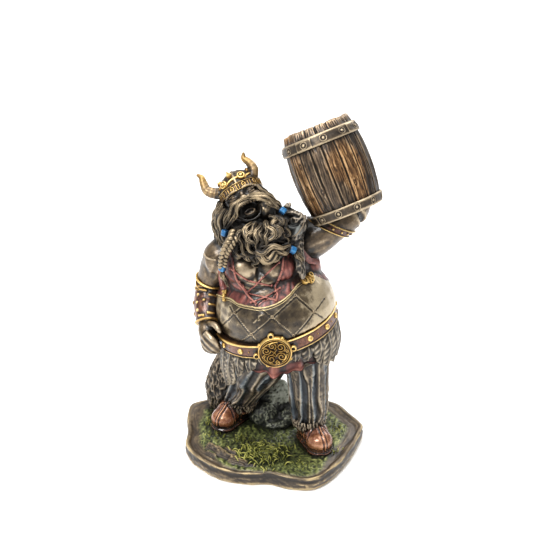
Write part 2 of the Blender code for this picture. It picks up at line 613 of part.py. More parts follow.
def press_quilting(mesh):
    """Presses the apron's diamond grooves into the front of the belly."""
    count = len(mesh.vertices)
    points = np.empty(count * 3)
    mesh.vertices.foreach_get("co", points)
    points = points.reshape(count, 3)
    middle = np.array(pose(*BELLY_MIDDLE))
    halves = np.array(BELLY_HALVES) * UNIT
    share = (points - middle) / halves
    reach = np.sqrt((share**2).sum(axis=1))
    across = np.arctan2(share[:, 0], -share[:, 1]) * halves[0]
    up = points[:, 2] - middle[2] - 0.17 * across
    falling = (across + up - 0.0061) / FALLING_SEAMS
    rising = (across - RISING_SLOPE * up - 0.0103) / RISING_SEAMS
    first = np.abs((falling + 0.5) % 1.0 - 0.5) * FALLING_SEAMS / math.sqrt(2.0)
    second = np.abs((rising + 0.5) % 1.0 - 0.5) * RISING_SEAMS / math.hypot(1.0, RISING_SLOPE)
    seam = np.minimum(first, second)
    front = (share[:, 1] < 0.1) & (np.abs(reach - 1.0) < 0.05) & (up < 0.0125)
    push = np.where(front, np.clip(1.0 - 2.0 * seam / SEAM_WIDTH, 0.0, 1.0), 0.0) * SEAM_DEPTH
    length = np.sqrt((share**2).sum(axis=1))[:, None]
    points -= share / np.maximum(length, 1e-6) * push[:, None]
    mesh.vertices.foreach_set("co", points.ravel())
    mesh.update()


def only_outer_skin(mesh):
    """Drops the walls of pockets shut inside the masses, so that the cast is solid."""
    work = bmesh.new()
    work.from_mesh(mesh)
    work.verts.ensure_lookup_table()
    seen = set()
    skins = []
    for first in work.verts:
        if first.index in seen:
            continue
        skin = []
        queue = [first]
        seen.add(first.index)
        while queue:
            vertex = queue.pop()
            skin.append(vertex)
            for edge in vertex.link_edges:
                other = edge.other_vert(vertex)
                if other.index not in seen:
                    seen.add(other.index)
                    queue.append(other)
        skins.append(skin)
    skins.sort(key=len)
    for skin in skins[:-1]:
        bmesh.ops.delete(work, geom=skin, context="VERTS")
    work.to_mesh(mesh)
    work.free()


def cast_skin(masses, name):
    """One closed skin over all the soft masses, smoothed and thinned to the solid's triangles."""
    bpy.ops.object.select_all(action="DESELECT")
    for obj in masses.objects:
        obj.select_set(True)
    bpy.context.view_layer.objects.active = masses.objects[0]
    bpy.ops.object.join()
    body = bpy.context.object
    body.name = name
    body.data.transform(Matrix.Scale(MILLIMETRES, 4))
    remesh = body.modifiers.new("skin", "REMESH")
    remesh.mode = "VOXEL"
    remesh.voxel_size = SKIN_VOXEL * MILLIMETRES
    body = as_mesh(body, masses)
    only_outer_skin(body.data)
    body.data.transform(Matrix.Scale(1.0 / MILLIMETRES, 4))
    press_quilting(body.data)
    body.data.transform(Matrix.Scale(MILLIMETRES, 4))
    soften = body.modifiers.new("soften", "SMOOTH")
    soften.factor = 0.5
    soften.iterations = 3
    thin = body.modifiers.new("thin", "DECIMATE")
    thin.ratio = SKIN_TRIANGLES / (2.0 * len(body.data.polygons))
    body = as_mesh(body, masses)
    body.data.transform(Matrix.Scale(1.0 / MILLIMETRES, 4))
    return body


def material(name, colour, roughness, metallic):
    made = bpy.data.materials.new(name)
    made.use_nodes = True
    shader = made.node_tree.nodes["Principled BSDF"]
    shader.inputs["Base Color"].default_value = (*colour, 1.0)
    shader.inputs["Roughness"].default_value = roughness
    shader.inputs["Metallic"].default_value = metallic
    return made


def build():
    for obj in list(bpy.data.objects):
        bpy.data.objects.remove(obj)
    masses = new_collection("cast_masses")
    crisp = new_collection("crisp_trim")
    hollows = new_collection("cutters")
    statue = new_collection("viking_warrior_statue")
    for make in (ground_rocks, legs, trunk, tassets, right_arm, left_arm, face, hair, horns, pelt, clothes):
        make(masses)
    body = cast_skin(masses, "viking_statue")
    for make in (ground_slab, helmet, cask, belt, trim):
        make(crisp)
    mouth_cut(hollows)
    carve = body.modifiers.new("mouth", "BOOLEAN")
    carve.operation = "DIFFERENCE"
    carve.object = hollows.objects[0]
    join = body.modifiers.new("trim", "BOOLEAN")
    join.operation = "UNION"
    join.operand_type = "COLLECTION"
    join.collection = crisp
    body.name = "rough"
    made = as_mesh(body, statue)
    made.name = "viking_statue"
    for obj in list(crisp.objects) + list(hollows.objects):
        bpy.data.objects.remove(obj)
    for spare in (masses, crisp, hollows):
        bpy.data.collections.remove(spare)
    made.data.materials.clear()
    made.data.materials.append(material("cast_bronze", (0.17, 0.12, 0.075), 0.42, 0.75))
    made.data.shade_smooth()
    made.data.set_sharp_from_angle(angle=math.radians(38.0))


build()
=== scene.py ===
import math

import bmesh
import bpy
import numpy as np
from mathutils import Matrix, Vector
from mathutils.bvhtree import BVHTree


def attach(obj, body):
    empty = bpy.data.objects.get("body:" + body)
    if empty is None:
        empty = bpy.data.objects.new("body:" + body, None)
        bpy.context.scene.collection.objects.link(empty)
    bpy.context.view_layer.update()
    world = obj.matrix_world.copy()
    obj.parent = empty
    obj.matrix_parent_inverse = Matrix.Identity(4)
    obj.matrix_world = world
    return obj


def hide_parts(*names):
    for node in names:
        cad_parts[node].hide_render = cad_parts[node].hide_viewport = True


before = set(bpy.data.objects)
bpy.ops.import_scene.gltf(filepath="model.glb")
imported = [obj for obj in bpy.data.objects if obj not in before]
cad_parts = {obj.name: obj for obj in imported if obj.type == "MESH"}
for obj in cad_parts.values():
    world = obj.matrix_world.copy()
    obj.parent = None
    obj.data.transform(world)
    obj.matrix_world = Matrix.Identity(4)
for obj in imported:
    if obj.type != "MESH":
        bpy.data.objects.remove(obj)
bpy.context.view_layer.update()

# Every length below is in millimetres, in the frame's own axes: x to the figure's left, y to its back.
MM = 0.001


# Noise and small maths

def unit(v):
    v = np.asarray(v, float)
    return v / max(np.linalg.norm(v), 1e-9)


def rows_unit(v):
    return v / np.maximum(np.linalg.norm(v, axis=-1, keepdims=True), 1e-9)


def noise(points, size, seed=0):
    """Smooth value noise from -1 to 1 at points in millimetres; size is its grain, one number or three."""
    p = np.asarray(points, float) / np.asarray(size, float) + 1000.0 + 37.7 * seed
    cell = np.floor(p).astype(np.int64)
    f = p - cell
    f = f * f * (3.0 - 2.0 * f)
    total = np.zeros(p.shape[:-1])
    for dx in (0, 1):
        for dy in (0, 1):
            for dz in (0, 1):
                n = (cell[..., 0] + dx) * 73856093 ^ (cell[..., 1] + dy) * 19349663 ^ (cell[..., 2] + dz) * 83492791
                n = (n ^ (n >> 13)) * 1274126177 & 0xFFFFFFFF
                value = ((n ^ (n >> 16)) & 0xFFFF) / 65535.0
                wx = f[..., 0] if dx else 1.0 - f[..., 0]
                wy = f[..., 1] if dy else 1.0 - f[..., 1]
                wz = f[..., 2] if dz else 1.0 - f[..., 2]
                total += value * wx * wy * wz
    return total * 2.0 - 1.0


def layers(points, size, seed=0, octaves=3):
    """Noise at several grains, each half the size and half the height of the last."""
    size = np.asarray(size, float)
    total = 0.0
    for k in range(octaves):
        total = total + noise(points, size / 2.0**k, seed + 11 * k) / 2.0**k
    return total / 1.75


def step(low, high, x):
    """A smooth step from 0 at low to 1 at high."""
    t = np.clip((x - low) / (high - low), 0.0, 1.0)
    return t * t * (3.0 - 2.0 * t)


def bump(x, width):
    """1 at x = 0, falling smoothly to 0 at the given half width."""
    t = np.clip(np.abs(x) / width, 0.0, 1.0)
    return (1.0 - t * t) ** 2


def fine_rows(rows, steps):
    """Rows of numbers along a Catmull-Rom curve through the given rows."""
    rows = np.asarray(rows, float)
    ends = np.vstack([rows[:1], rows, rows[-1:]])
    out = []
    for i in range(1, len(ends) - 2):
        p, q, r, s = ends[i - 1 : i + 3]
        for k in range(steps):
            t = k / steps
            bend = (2 * p - 5 * q + 4 * r - s) * t * t + (3 * q - p - 3 * r + s) * t**3
            out.append(0.5 * (2 * q + (r - p) * t + bend))
    out.append(ends[-1])
    return np.array(out)


# The head's own axes, and the cask's

HEAD = np.array([-13.5, 2.0, 126.0])
HEAD_UP = unit([-0.435, 0.545, 0.714])
HEAD_FRONT = unit([-0.117, -0.823, 0.556])
HEAD_SIDE = unit(np.cross(HEAD_FRONT, HEAD_UP))


def head(side, front, up):
    return HEAD + HEAD_SIDE * side + HEAD_FRONT * front + HEAD_UP * up


CASK_FOOT = np.array([31.3, 2.0, 118.4])
CASK_UP = unit([-0.3745, 0.307, 0.8746])
CASK_X = unit(np.cross([0.0, 1.0, 0.0], CASK_UP))
CASK_Y = np.cross(CASK_UP, CASK_X)


# Meshes

class Shape:
    """Gathers patches of one piece: corners, faces, a tint from 0 to 1 and how much its paint is rubbed, which also
    carries painted light and shade.
    """

    def __init__(self):
        self.points, self.faces, self.tints, self.rubs = [], [], [], []
        self.count = 0

    def add(self, points, faces, tint=0.0, rub=0.0):
        points = np.asarray(points, float).reshape(-1, 3)
        n = len(points)
        self.points.append(points)
        self.faces.extend((np.asarray(faces) + self.count).tolist())
        self.tints.append(np.broadcast_to(np.asarray(tint, float).ravel(), (n,)))
        self.rubs.append(np.broadcast_to(np.asarray(rub, float).ravel(), (n,)))
        self.count += n

    def grid(self, points, round_u=False, round_v=False, tint=0.0, rub=0.0, flip=False):
        """A net of points[u][v] as quads, closed round u or v where asked."""
        nu, nv = points.shape[:2]
        u = np.arange(nu if round_u else nu - 1)
        v = np.arange(nv if round_v else nv - 1)
        u, v = np.meshgrid(u, v, indexing="ij")
        a = u * nv + v
        b = ((u + 1) % nu) * nv + v
        c = ((u + 1) % nu) * nv + (v + 1) % nv
        d = u * nv + (v + 1) % nv
        faces = np.stack([a, d, c, b] if flip else [a, b, c, d], axis=-1).reshape(-1, 4)
        self.add(points, faces, tint, rub)


def sweep(shape, rows, sides=16, section=None, steps=4, tint=None, rub=None, flat=None, first=None):
    """A tube through rows of (x, y, z, radius). section(angle, share) scales its radius; flat is
    (thickness share, direction): the tube is pressed thin along that direction."""
    rows = fine_rows(rows, steps) if steps else np.asarray(rows, float)
    centre, radius = rows[:, :3], rows[:, 3]
    along = rows_unit(np.gradient(centre, axis=0))
    side = first if first is not None else np.cross(along[0], [0.3, -1.0, 0.2])
    net = []
    n = len(rows)
    angle = np.linspace(0, 2 * math.pi, sides, endpoint=False)
    for i in range(n):
        side = unit(side - along[i] * np.dot(side, along[i]))
        other = np.cross(along[i], side)
        scale = np.ones(sides) if section is None else section(angle, i / (n - 1))
        ring = (side * np.cos(angle)[:, None] + other * np.sin(angle)[:, None]) * (radius[i] * scale)[:, None]
        if flat is not None:
            thin, out = flat
            out = unit(np.asarray(out) - along[i] * np.dot(out, along[i]))
            ring = ring - out * (ring @ out)[:, None] * (1.0 - thin)
        net.append(centre[i] + ring)
    net = np.array(net)
    share = np.repeat(np.linspace(0, 1, n)[:, None], sides, 1)
    angles = np.repeat(angle[None, :], n, 0)
    tints = 0.0 if tint is None else (tint(angles, share) if callable(tint) else tint)
    rubs = 0.0 if rub is None else (rub(angles, share) if callable(rub) else rub)
    shape.grid(net, round_v=True, tint=tints, rub=rubs, flip=True)
    for end in (0, n - 1):
        ring = np.arange(sides)
        tip = centre[end] + along[end] * radius[end] * (-0.3 if end == 0 else 0.3)
        points = np.vstack([net[end], tip])
        fan = [(k, (k + 1) % sides, sides) if end else ((k + 1) % sides, k, sides) for k in ring]
        end_tint = tints[end].mean() if np.ndim(tints) == 2 else tints
        shape.add(points, fan, end_tint, 0.0)


def ellipsoid(centre, halves, axes=None, around=28, down=18):
    """A closed ball as points and faces. axes are the directions of its three half lengths."""
    theta = np.linspace(0, 2 * math.pi, around, endpoint=False)
    phi = np.linspace(0.02, math.pi - 0.02, down)
    t, p = np.meshgrid(theta, phi, indexing="ij")
    ball = np.stack([np.sin(p) * np.cos(t), np.sin(p) * np.sin(t), np.cos(p)], axis=-1) * np.asarray(halves, float)
    frame3 = np.eye(3) if axes is None else np.array(axes)
    return ball @ frame3 + np.asarray(centre, float)


def ball(shape, centre, halves, axes=None, around=28, down=18, tint=0.0, rub=0.0):
    net = ellipsoid(centre, halves, axes, around, down)
    shape.grid(net, round_u=True, tint=tint, rub=rub, flip=True)
    for end, flip in ((0, False), (-1, True)):
        ring = net[:, end]
        middle = ring.mean(axis=0)
        n = len(ring)
        fan = [(k, (k + 1) % n, n) if not flip else ((k + 1) % n, k, n) for k in range(n)]
        shape.add(np.vstack([ring, middle]), fan, tint if np.size(tint) == 1 else 0.0, 0.0)


def head_ball(shape, place, halves, **more):
    ball(shape, head(*place), halves, axes=(HEAD_SIDE, HEAD_FRONT, HEAD_UP), **more)


def arrays(obj):
    """An object's corners, normals and edges as arrays, in millimetres."""
    mesh = obj.data
    n = len(mesh.vertices)
    points = np.empty(n * 3)
    mesh.vertices.foreach_get("co", points)
    normals = np.empty(n * 3)
    mesh.vertices.foreach_get("normal", normals)
    edges = np.empty(len(mesh.edges) * 2, dtype=np.int64)
    mesh.edges.foreach_get("vertices", edges)
    return points.reshape(-1, 3) / MM, normals.reshape(-1, 3), edges.reshape(-1, 2)


def relax(points, edges, rounds, pull=0.6):
    """Averages each corner with its neighbours, over and over."""
    n = len(points)
    degree = np.bincount(edges.ravel(), minlength=n)[:, None]
    for _ in range(rounds):
        total = np.zeros_like(points)
        for axis in range(points.shape[1]):
            total[:, axis] = np.bincount(edges[:, 0], points[edges[:, 1], axis], n)
            total[:, axis] += np.bincount(edges[:, 1], points[edges[:, 0], axis], n)
        points = points + (total / np.maximum(degree, 1) - points) * pull
    return points


def store(mesh, name, values):
    field = mesh.attributes.new(name, "FLOAT", "POINT")
    field.data.foreach_set("value", np.asarray(values, np.float32))


def finish_piece(obj, material, slot, tint=None, rub=None, reach=0.28, rounds=10, sharp=None):
    """Rubs the paint by the relief of the surface, adds the given painted light and shade, sets the look and makes the
    piece ride.
    """
    points, normals, edges = arrays(obj)
    fine = relax(points, edges, 3)
    broad = relax(fine, edges, rounds)
    height = ((points - fine) * normals).sum(axis=1) * 1.6 + ((points - broad) * normals).sum(axis=1)
    worn = 0.5 + height / reach * 0.5
    if rub is not None:
        worn = worn + rub
    store(obj.data, "worn", np.clip(worn, 0.0, 1.0))
    store(obj.data, "tint", np.zeros(len(points)) if tint is None else np.clip(tint, 0.0, 1.0))
    obj.data.materials.clear()
    obj.data.materials.append(material)
    obj.data.shade_smooth()
    if sharp:
        obj.data.set_sharp_from_angle(angle=math.radians(sharp))
    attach(obj, "root")
    return obj


def to_object(shape, name):
    mesh = bpy.data.meshes.new(name)
    points = np.vstack(shape.points) * MM
    mesh.from_pydata(points.tolist(), [], shape.faces)
    whole = bmesh.new()
    whole.from_mesh(mesh)
    bmesh.ops.recalc_face_normals(whole, faces=whole.faces)
    whole.to_mesh(mesh)
    whole.free()
    obj = bpy.data.objects.new(name, mesh)
    bpy.context.scene.collection.objects.link(obj)
    return obj


def piece(shape, name, material, slot, **more):
    """A finished piece straight from its patches."""
    obj = to_object(shape, name)
    return finish_piece(obj, material, slot, np.concatenate(shape.tints), np.concatenate(shape.rubs), **more)


def cast(shape, name, voxel, smooth=3):
    """One skin over overlapping patches, as an object whose corners carve() then moves."""
    obj = to_object(shape, name + "_rough")
    obj.data.transform(Matrix.Scale(1.0 / MM, 4))
    skin = obj.modifiers.new("skin", "REMESH")
    skin.mode = "VOXEL"
    skin.voxel_size = voxel
    bpy.context.view_layer.update()
    graph = bpy.context.evaluated_depsgraph_get()
    mesh = bpy.data.meshes.new_from_object(obj.evaluated_get(graph))
    mesh.transform(Matrix.Scale(MM, 4))
    made = bpy.data.objects.new(name, mesh)
    bpy.data.objects.remove(obj)
    bpy.context.scene.collection.objects.link(made)
    points, _, edges = arrays(made)
    move(made, relax(points, edges, smooth, 0.5))
    return made


def move(obj, points):
    obj.data.vertices.foreach_set("co", (points * MM).ravel())
    obj.data.update()


def carve(obj, relief):
    """Moves each corner along its normal by relief(points, normals), in millimetres."""
    points, normals, _ = arrays(obj)
    move(obj, points + normals * np.asarray(relief(points, normals))[:, None])
    return obj


# Paint

def mix_node(tree, kind, factor, a, b):
    node = tree.nodes.new("ShaderNodeMix")
    node.data_type = "RGBA"
    node.blend_type = kind
    for socket, value in ((node.inputs[0], factor), (node.inputs[6], a), (node.inputs[7], b)):
        if hasattr(value, "is_output"):
            tree.links.new(value, socket)
        elif socket.type == "RGBA":
            socket.default_value = (*value, 1.0)
        else:
            socket.default_value = value
    return node.outputs[2]


def noise_node(tree, scale, detail=4.0, stretch=None):
    place = tree.nodes.new("ShaderNodeTexCoord").outputs["Object"]
    if stretch is not None:
        mapping = tree.nodes.new("ShaderNodeMapping")
        mapping.inputs["Scale"].default_value = stretch
        tree.links.new(place, mapping.inputs["Vector"])
        place = mapping.outputs["Vector"]
    node = tree.nodes.new("ShaderNodeTexNoise")
    node.inputs["Scale"].default_value = scale
    node.inputs["Detail"].default_value = detail
    tree.links.new(place, node.inputs["Vector"])
    return node.outputs["Fac"]


def math_node(tree, kind, a, b, clamp=False):
    node = tree.nodes.new("ShaderNodeMath")
    node.operation = kind
    node.use_clamp = clamp
    for socket, value in zip(node.inputs, (a, b)):
        if hasattr(value, "is_output"):
            tree.links.new(value, socket)
        else:
            socket.default_value = value
    return node.outputs[0]


def ramp_node(tree, factor, stops):
    node = tree.nodes.new("ShaderNodeValToRGB")
    tree.links.new(factor, node.inputs["Fac"])
    elements = node.color_ramp.elements
    while len(elements) < len(stops):
        elements.new(0.5)
    for element, (place, colour) in zip(elements, stops):
        element.position = place
        element.color = (*colour, 1.0)
    return node.outputs["Color"]


def paint(name, colours, second=None, rough=0.42, metal=0.55, blotch=0.30, grain=0.12, coat=0.0):
    """Antiqued paint: four colours, from the hollows to the most rubbed ridges. second is another
    four, used where the piece's tint is 1."""
    made = bpy.data.materials.new(name)
    made.use_nodes = True
    tree = made.node_tree
    shader = tree.nodes["Principled BSDF"]

    def field(key):
        node = tree.nodes.new("ShaderNodeAttribute")
        node.attribute_name = key
        return node.outputs["Fac"]

    patch = noise_node(tree, 160.0, 4.0)
    speck = noise_node(tree, 1500.0, 3.0)
    shift = math_node(tree, "MULTIPLY", math_node(tree, "SUBTRACT", patch, 0.5), blotch * 2.0)
    fine = math_node(tree, "MULTIPLY", math_node(tree, "SUBTRACT", speck, 0.5), grain * 2.0)
    shift = math_node(tree, "ADD", shift, fine)
    worn = math_node(tree, "ADD", field("worn"), shift, clamp=True)
    places = (0.12, 0.44, 0.72, 0.97)
    colour = ramp_node(tree, worn, list(zip(places, colours)))
    if second is not None:
        other = ramp_node(tree, worn, list(zip(places, second)))
        colour = mix_node(tree, "MIX", field("tint"), colour, other)
    tree.links.new(colour, shader.inputs["Base Color"])
    rough_mix = math_node(tree, "MULTIPLY", speck, 0.24)
    rough_mix = math_node(tree, "ADD", rough_mix, rough - 0.12)
    tree.links.new(rough_mix, shader.inputs["Roughness"])
    metal_mix = math_node(tree, "MULTIPLY", worn, metal * 0.6)
    metal_mix = math_node(tree, "ADD", metal_mix, metal * 0.55, clamp=True)
    tree.links.new(metal_mix, shader.inputs["Metallic"])
    if coat:
        shader.inputs["Coat Weight"].default_value = coat
        shader.inputs["Coat Roughness"].default_value = 0.18
    relief = tree.nodes.new("ShaderNodeBump")
    relief.inputs["Strength"].default_value = 0.35
    relief.inputs["Distance"].default_value = 0.00012
    tree.links.new(noise_node(tree, 2600.0, 3.0), relief.inputs["Height"])
    tree.links.new(relief.outputs["Normal"], shader.inputs["Normal"])
    return made


GOLDS = ((0.026, 0.012, 0.004), (0.21, 0.110, 0.024), (0.50, 0.30, 0.075), (0.86, 0.61, 0.23))
BRONZES = ((0.008, 0.006, 0.004), (0.048, 0.034, 0.021), (0.150, 0.108, 0.065), (0.43, 0.34, 0.22))
BRONZE = paint("bronze", BRONZES)
SKIN = paint("skin_bronze", ((0.008, 0.0055, 0.003), (0.050, 0.033, 0.018), (0.138, 0.095, 0.053), (0.39, 0.305, 0.20)),
             rough=0.36, metal=0.6, blotch=0.26, coat=0.3)
HAIR = paint("hair_bronze", ((0.004, 0.003, 0.002), (0.015, 0.011, 0.007), (0.070, 0.052, 0.032), (0.33, 0.25, 0.15)), rough=0.36)
FUR = paint("fur_bronze", ((0.004, 0.003, 0.002), (0.024, 0.018, 0.012), (0.105, 0.081, 0.055), (0.30, 0.24, 0.17)))
GOLD = paint("gold_paint", GOLDS, rough=0.32, metal=0.7, blotch=0.18)
RED = paint("red_paint", ((0.012, 0.004, 0.003), (0.078, 0.018, 0.014), (0.175, 0.047, 0.036), (0.33, 0.125, 0.09)),
            rough=0.42, metal=0.25, coat=0.1)
LEATHER = paint("leather_paint", ((0.012, 0.006, 0.004), (0.080, 0.029, 0.016), (0.19, 0.076, 0.040), (0.38, 0.18, 0.10)),
                second=GOLDS, rough=0.32, metal=0.35, coat=0.15)
WOOD = paint("wood_paint", ((0.006, 0.004, 0.002), (0.034, 0.022, 0.013), (0.118, 0.078, 0.046), (0.34, 0.245, 0.155)),
             second=((0.010, 0.005, 0.002), (0.070, 0.034, 0.014), (0.25, 0.130, 0.052), (0.62, 0.38, 0.18)), rough=0.32, metal=0.5)
TROUSER = paint("trouser_paint", ((0.005, 0.006, 0.008), (0.020, 0.028, 0.037), (0.075, 0.092, 0.106), (0.26, 0.27, 0.26)),
                second=((0.007, 0.005, 0.004), (0.040, 0.030, 0.020), (0.150, 0.115, 0.076), (0.38, 0.31, 0.22)), metal=0.35)
TURF = paint("turf_paint", ((0.010, 0.012, 0.004), (0.062, 0.074, 0.022), (0.18, 0.20, 0.060), (0.38, 0.38, 0.14)),
             second=((0.014, 0.009, 0.005), (0.062, 0.043, 0.026), (0.165, 0.120, 0.066), (0.44, 0.33, 0.17)), rough=0.42, metal=0.25)
GRASS = paint("grass_paint", ((0.020, 0.023, 0.004), (0.100, 0.108, 0.016), (0.27, 0.27, 0.045), (0.50, 0.47, 0.12)),
              rough=0.42, metal=0.1)
MOSS = paint("moss_paint", ((0.005, 0.006, 0.004), (0.026, 0.029, 0.019), (0.11, 0.115, 0.080), (0.28, 0.29, 0.21)),
             second=((0.045, 0.047, 0.036), (0.17, 0.18, 0.14), (0.32, 0.34, 0.27), (0.48, 0.50, 0.42)), rough=0.5, metal=0.15)
BEAD = paint("bead_paint", ((0.004, 0.02, 0.05), (0.008, 0.065, 0.17), (0.011, 0.105, 0.255), (0.045, 0.21, 0.41)),
             rough=0.3, metal=0.1, blotch=0.1)
APRON = paint("apron_leather", ((0.006, 0.0045, 0.003), (0.031, 0.022, 0.013), (0.104, 0.076, 0.043), (0.42, 0.34, 0.22)),
              rough=0.32, metal=0.5, blotch=0.18, coat=0.2)
ROPE = paint("rope_paint", ((0.015, 0.009, 0.004), (0.090, 0.060, 0.027), (0.25, 0.175, 0.080), (0.56, 0.44, 0.23)), rough=0.36, metal=0.5)
TASSET = paint("tasset_leather", ((0.007, 0.006, 0.004), (0.042, 0.033, 0.023), (0.145, 0.117, 0.082), (0.40, 0.34, 0.25)), metal=0.45)
BOOT = paint("boot_leather", ((0.009, 0.004, 0.003), (0.075, 0.024, 0.011), (0.20, 0.068, 0.030), (0.46, 0.22, 0.11)),
             rough=0.24, metal=0.35, coat=0.5)
HORN = paint("horn_paint", ((0.010, 0.007, 0.004), (0.060, 0.038, 0.018), (0.15, 0.095, 0.042), (0.34, 0.23, 0.11)),
             second=((0.024, 0.013, 0.005), (0.17, 0.098, 0.026), (0.36, 0.215, 0.060), (0.60, 0.40, 0.15)), rough=0.34, metal=0.5)
PELT = paint("pelt_paint", ((0.004, 0.0035, 0.003), (0.020, 0.016, 0.012), (0.090, 0.073, 0.053), (0.30, 0.25, 0.19)),
             second=((0.014, 0.015, 0.014), (0.050, 0.054, 0.050), (0.13, 0.138, 0.128), (0.28, 0.29, 0.27)), metal=0.35)


# Cask

def cask():
    length, end, belly, wall = 39.5, 14.4, 17.3, 2.4
    rng = np.random.default_rng(7)
    staves = 17
    edges = np.cumsum(0.75 + 0.5 * rng.random(staves))
    edges = np.append(0.0, edges) / edges[-1] * 2 * math.pi
    tops = 0.9 * rng.random(staves) - 0.9

    def outer(h):
        return end + (belly - end) * (1.0 - np.abs(2.0 * h / length - 1.0) ** 2.2)

    around = 380
    angle = np.linspace(0, 2 * math.pi, around, endpoint=False)
    index = np.clip(np.searchsorted(edges, angle, side="right") - 1, 0, staves - 1)
    gap = np.minimum(angle - edges[index], edges[index + 1] - angle)
    groove = bump(gap, 0.035)
    lift = tops[index] - 0.5 * bump(gap, 0.03)
    up = np.linspace(0.0, 1.0, 62)
    h_out = up[None, :] * (length + lift[:, None])
    radius = outer(np.clip(h_out, 0, length))
    flatten = np.cos(np.clip(gap, 0, 0.2)[:, None])
    twist = angle[:, None] + 0.014 * np.sin(h_out / 6.0 + index[:, None] * 2.1)
    spot = np.stack([np.cos(twist) * 16, np.sin(twist) * 16, h_out * 0.07 + index[:, None] * 9.0], axis=-1)
    grain = layers(spot, 1.1, 3, 3)
    lines = 1.0 - np.abs(noise(spot * [1, 1, 1.6], 0.55, 9)) * 2.4
    knots = 0.0
    for k in range(7):
        a, h0 = rng.random() * 2 * math.pi, 8 + rng.random() * 24
        away = np.hypot((((angle[:, None] - a + math.pi) % (2 * math.pi)) - math.pi) * 16, (h_out - h0) * 0.55)
        knots = knots + 0.55 * bump(away, 1.3) * np.cos(away * 5.0) - 0.5 * bump(away, 0.6)
    swell = noise(spot, 3.4, 15)
    carving = 0.30 * swell + 0.30 * grain - 0.16 * np.clip(lines, 0, 1) + 0.5 * knots - 0.75 * groove[:, None]
    sides = radius - 0.25 + carving * step(0, 1.0, h_out + 0.4) - 0.3 * (1 - flatten)
    # The cross cuts round the rim, above the upper hoop.
    cuts = np.clip(np.sin(angle * 95.0), 0, 1)[:, None] * step(length - 3.4, length - 2.8, h_out)
    sides = sides - 0.22 * cuts
    outside = np.stack([np.cos(angle)[:, None] * sides, np.sin(angle)[:, None] * sides, h_out], axis=-1)
    rim_in = outer(length) - wall
    rim = []
    for share in (0.12, 0.3, 0.55, 0.8, 0.95):
        r = sides[:, -1] * (1 - share) + rim_in * share
        z = h_out[:, -1] + 0.25 * math.sin(math.pi * share) + 0.10 * noise(outside[:, -1] * [1, 1, 0], 0.8, 4)
        rim.append(np.stack([np.cos(angle) * r, np.sin(angle) * r, z], axis=-1))
    inside = []
    for h in np.linspace(length - 1.2, 5.4, 14):
        r = outer(h) - wall - 0.35 * groove + 0.12 * noise(np.stack([np.cos(angle) * 15, np.sin(angle) * 15, angle * 0 + h * 0.1], -1), 0.7, 6)
        inside.append(np.stack([np.cos(angle) * r, np.sin(angle) * r, np.full(around, h)], axis=-1))
    floor = []
    for share in (0.85, 0.55, 0.25, 0.01):
        r = (outer(5.0) - wall) * share
        across = np.cos(angle) * r
        plank = 0.3 * bump((across / 4.5 + 0.5) % 1.0 - 0.5, 0.06)
        floor.append(np.stack([np.cos(angle) * r, np.sin(angle) * r, 5.2 - plank], axis=-1))
    under = []
    for share in (0.01, 0.5, 0.9):
        under.append(np.stack([np.cos(angle) * end * share, np.sin(angle) * end * share, np.full(around, 0.35)], axis=-1))
    net = np.concatenate([np.stack(under, 1), outside, np.stack(rim, 1), np.stack(inside, 1), np.stack(floor, 1)], axis=1)
    world = CASK_FOOT + net[..., :1] * CASK_X + net[..., 1:2] * CASK_Y + net[..., 2:] * CASK_UP
    shade = np.zeros(net.shape[:2])
    columns = net.shape[1]
    tone = rng.random(staves)[index] * 0.30 - 0.15
    shade += tone[:, None] - 0.05
    # The inner wall and floor are darker: painted shade inside the open cask.
    shade[:, 3 + 62 + 5 :] -= 0.25
    shape = Shape()
    # Copper patches at random, and a painted highlight on the staves that face front and right.
    copper_and_painted_highlight = step(0.0, 0.55, noise(net, (7.0, 7.0, 15.0), 51) + 0.6 * bump(angle - 5.2, 0.45)[:, None])
    shape.grid(world, round_u=True, tint=copper_and_painted_highlight, rub=shade)
    piece(shape, "cask_staves", WOOD, "painted_wood", reach=0.26)
    hoops = Shape()
    for low, wide in ((0.0, 4.3), (length - 3.7 - 4.7, 4.7)):
        proud = 0.8
        n = 420
        a = np.linspace(0, 2 * math.pi, n, endpoint=False)
        rows = np.concatenate([[0.0], np.linspace(0, wide, 18), [wide]])
        h = np.repeat(rows[None, :], n, 0)
        face = np.ones(len(rows))
        face[[0, -1]] = 0.0
        r = outer(low + h) - 1.3 + (1.3 + proud) * face
        edge = np.minimum(h, wide - h)
        dents = layers(np.stack([np.cos(a)[:, None] * 16 + 0 * h, np.sin(a)[:, None] * 16 + 0 * h, h + low], -1), 1.6, 5)
        r = r + face * (0.10 * dents - 0.22 * (1 - step(0, 0.35, edge)))
        count = 12
        for k in range(count):
            mid = 2 * math.pi * (k + (0.30 if low else 0.62)) / count
            da = ((a - mid + math.pi) % (2 * math.pi) - math.pi)[:, None] * 15.2
            away = np.hypot(da, h - wide / 2)
            r = r + face * (0.44 * bump(away, 0.85) + 0.20 * bump(away - 1.28, 0.28) - 0.34 * bump(away - 0.95, 0.24))
        for mid in (0.55, 1.95, 3.4, 5.1):
            # The hoop's overlapped end.
            da = ((a - mid - low * 0.07 + math.pi) % (2 * math.pi) - math.pi)[:, None] * 15.2
            r = r + face * 0.30 * step(-0.25, 0.1, da) * (1 - step(6.3, 6.6, da)) * step(0.35, 0.6, edge)
        net = np.stack([np.cos(a)[:, None] * r, np.sin(a)[:, None] * r, h + low], axis=-1)
        world = CASK_FOOT + net[..., :1] * CASK_X + net[..., 1:2] * CASK_Y + net[..., 2:] * CASK_UP
        hoops.grid(world, round_u=True, rub=-0.10 + 0.18 * bump(edge - 0.25, 0.35))
    piece(hoops, "cask_hoops", BRONZE, "cast_bronze", reach=0.22)


# Ground

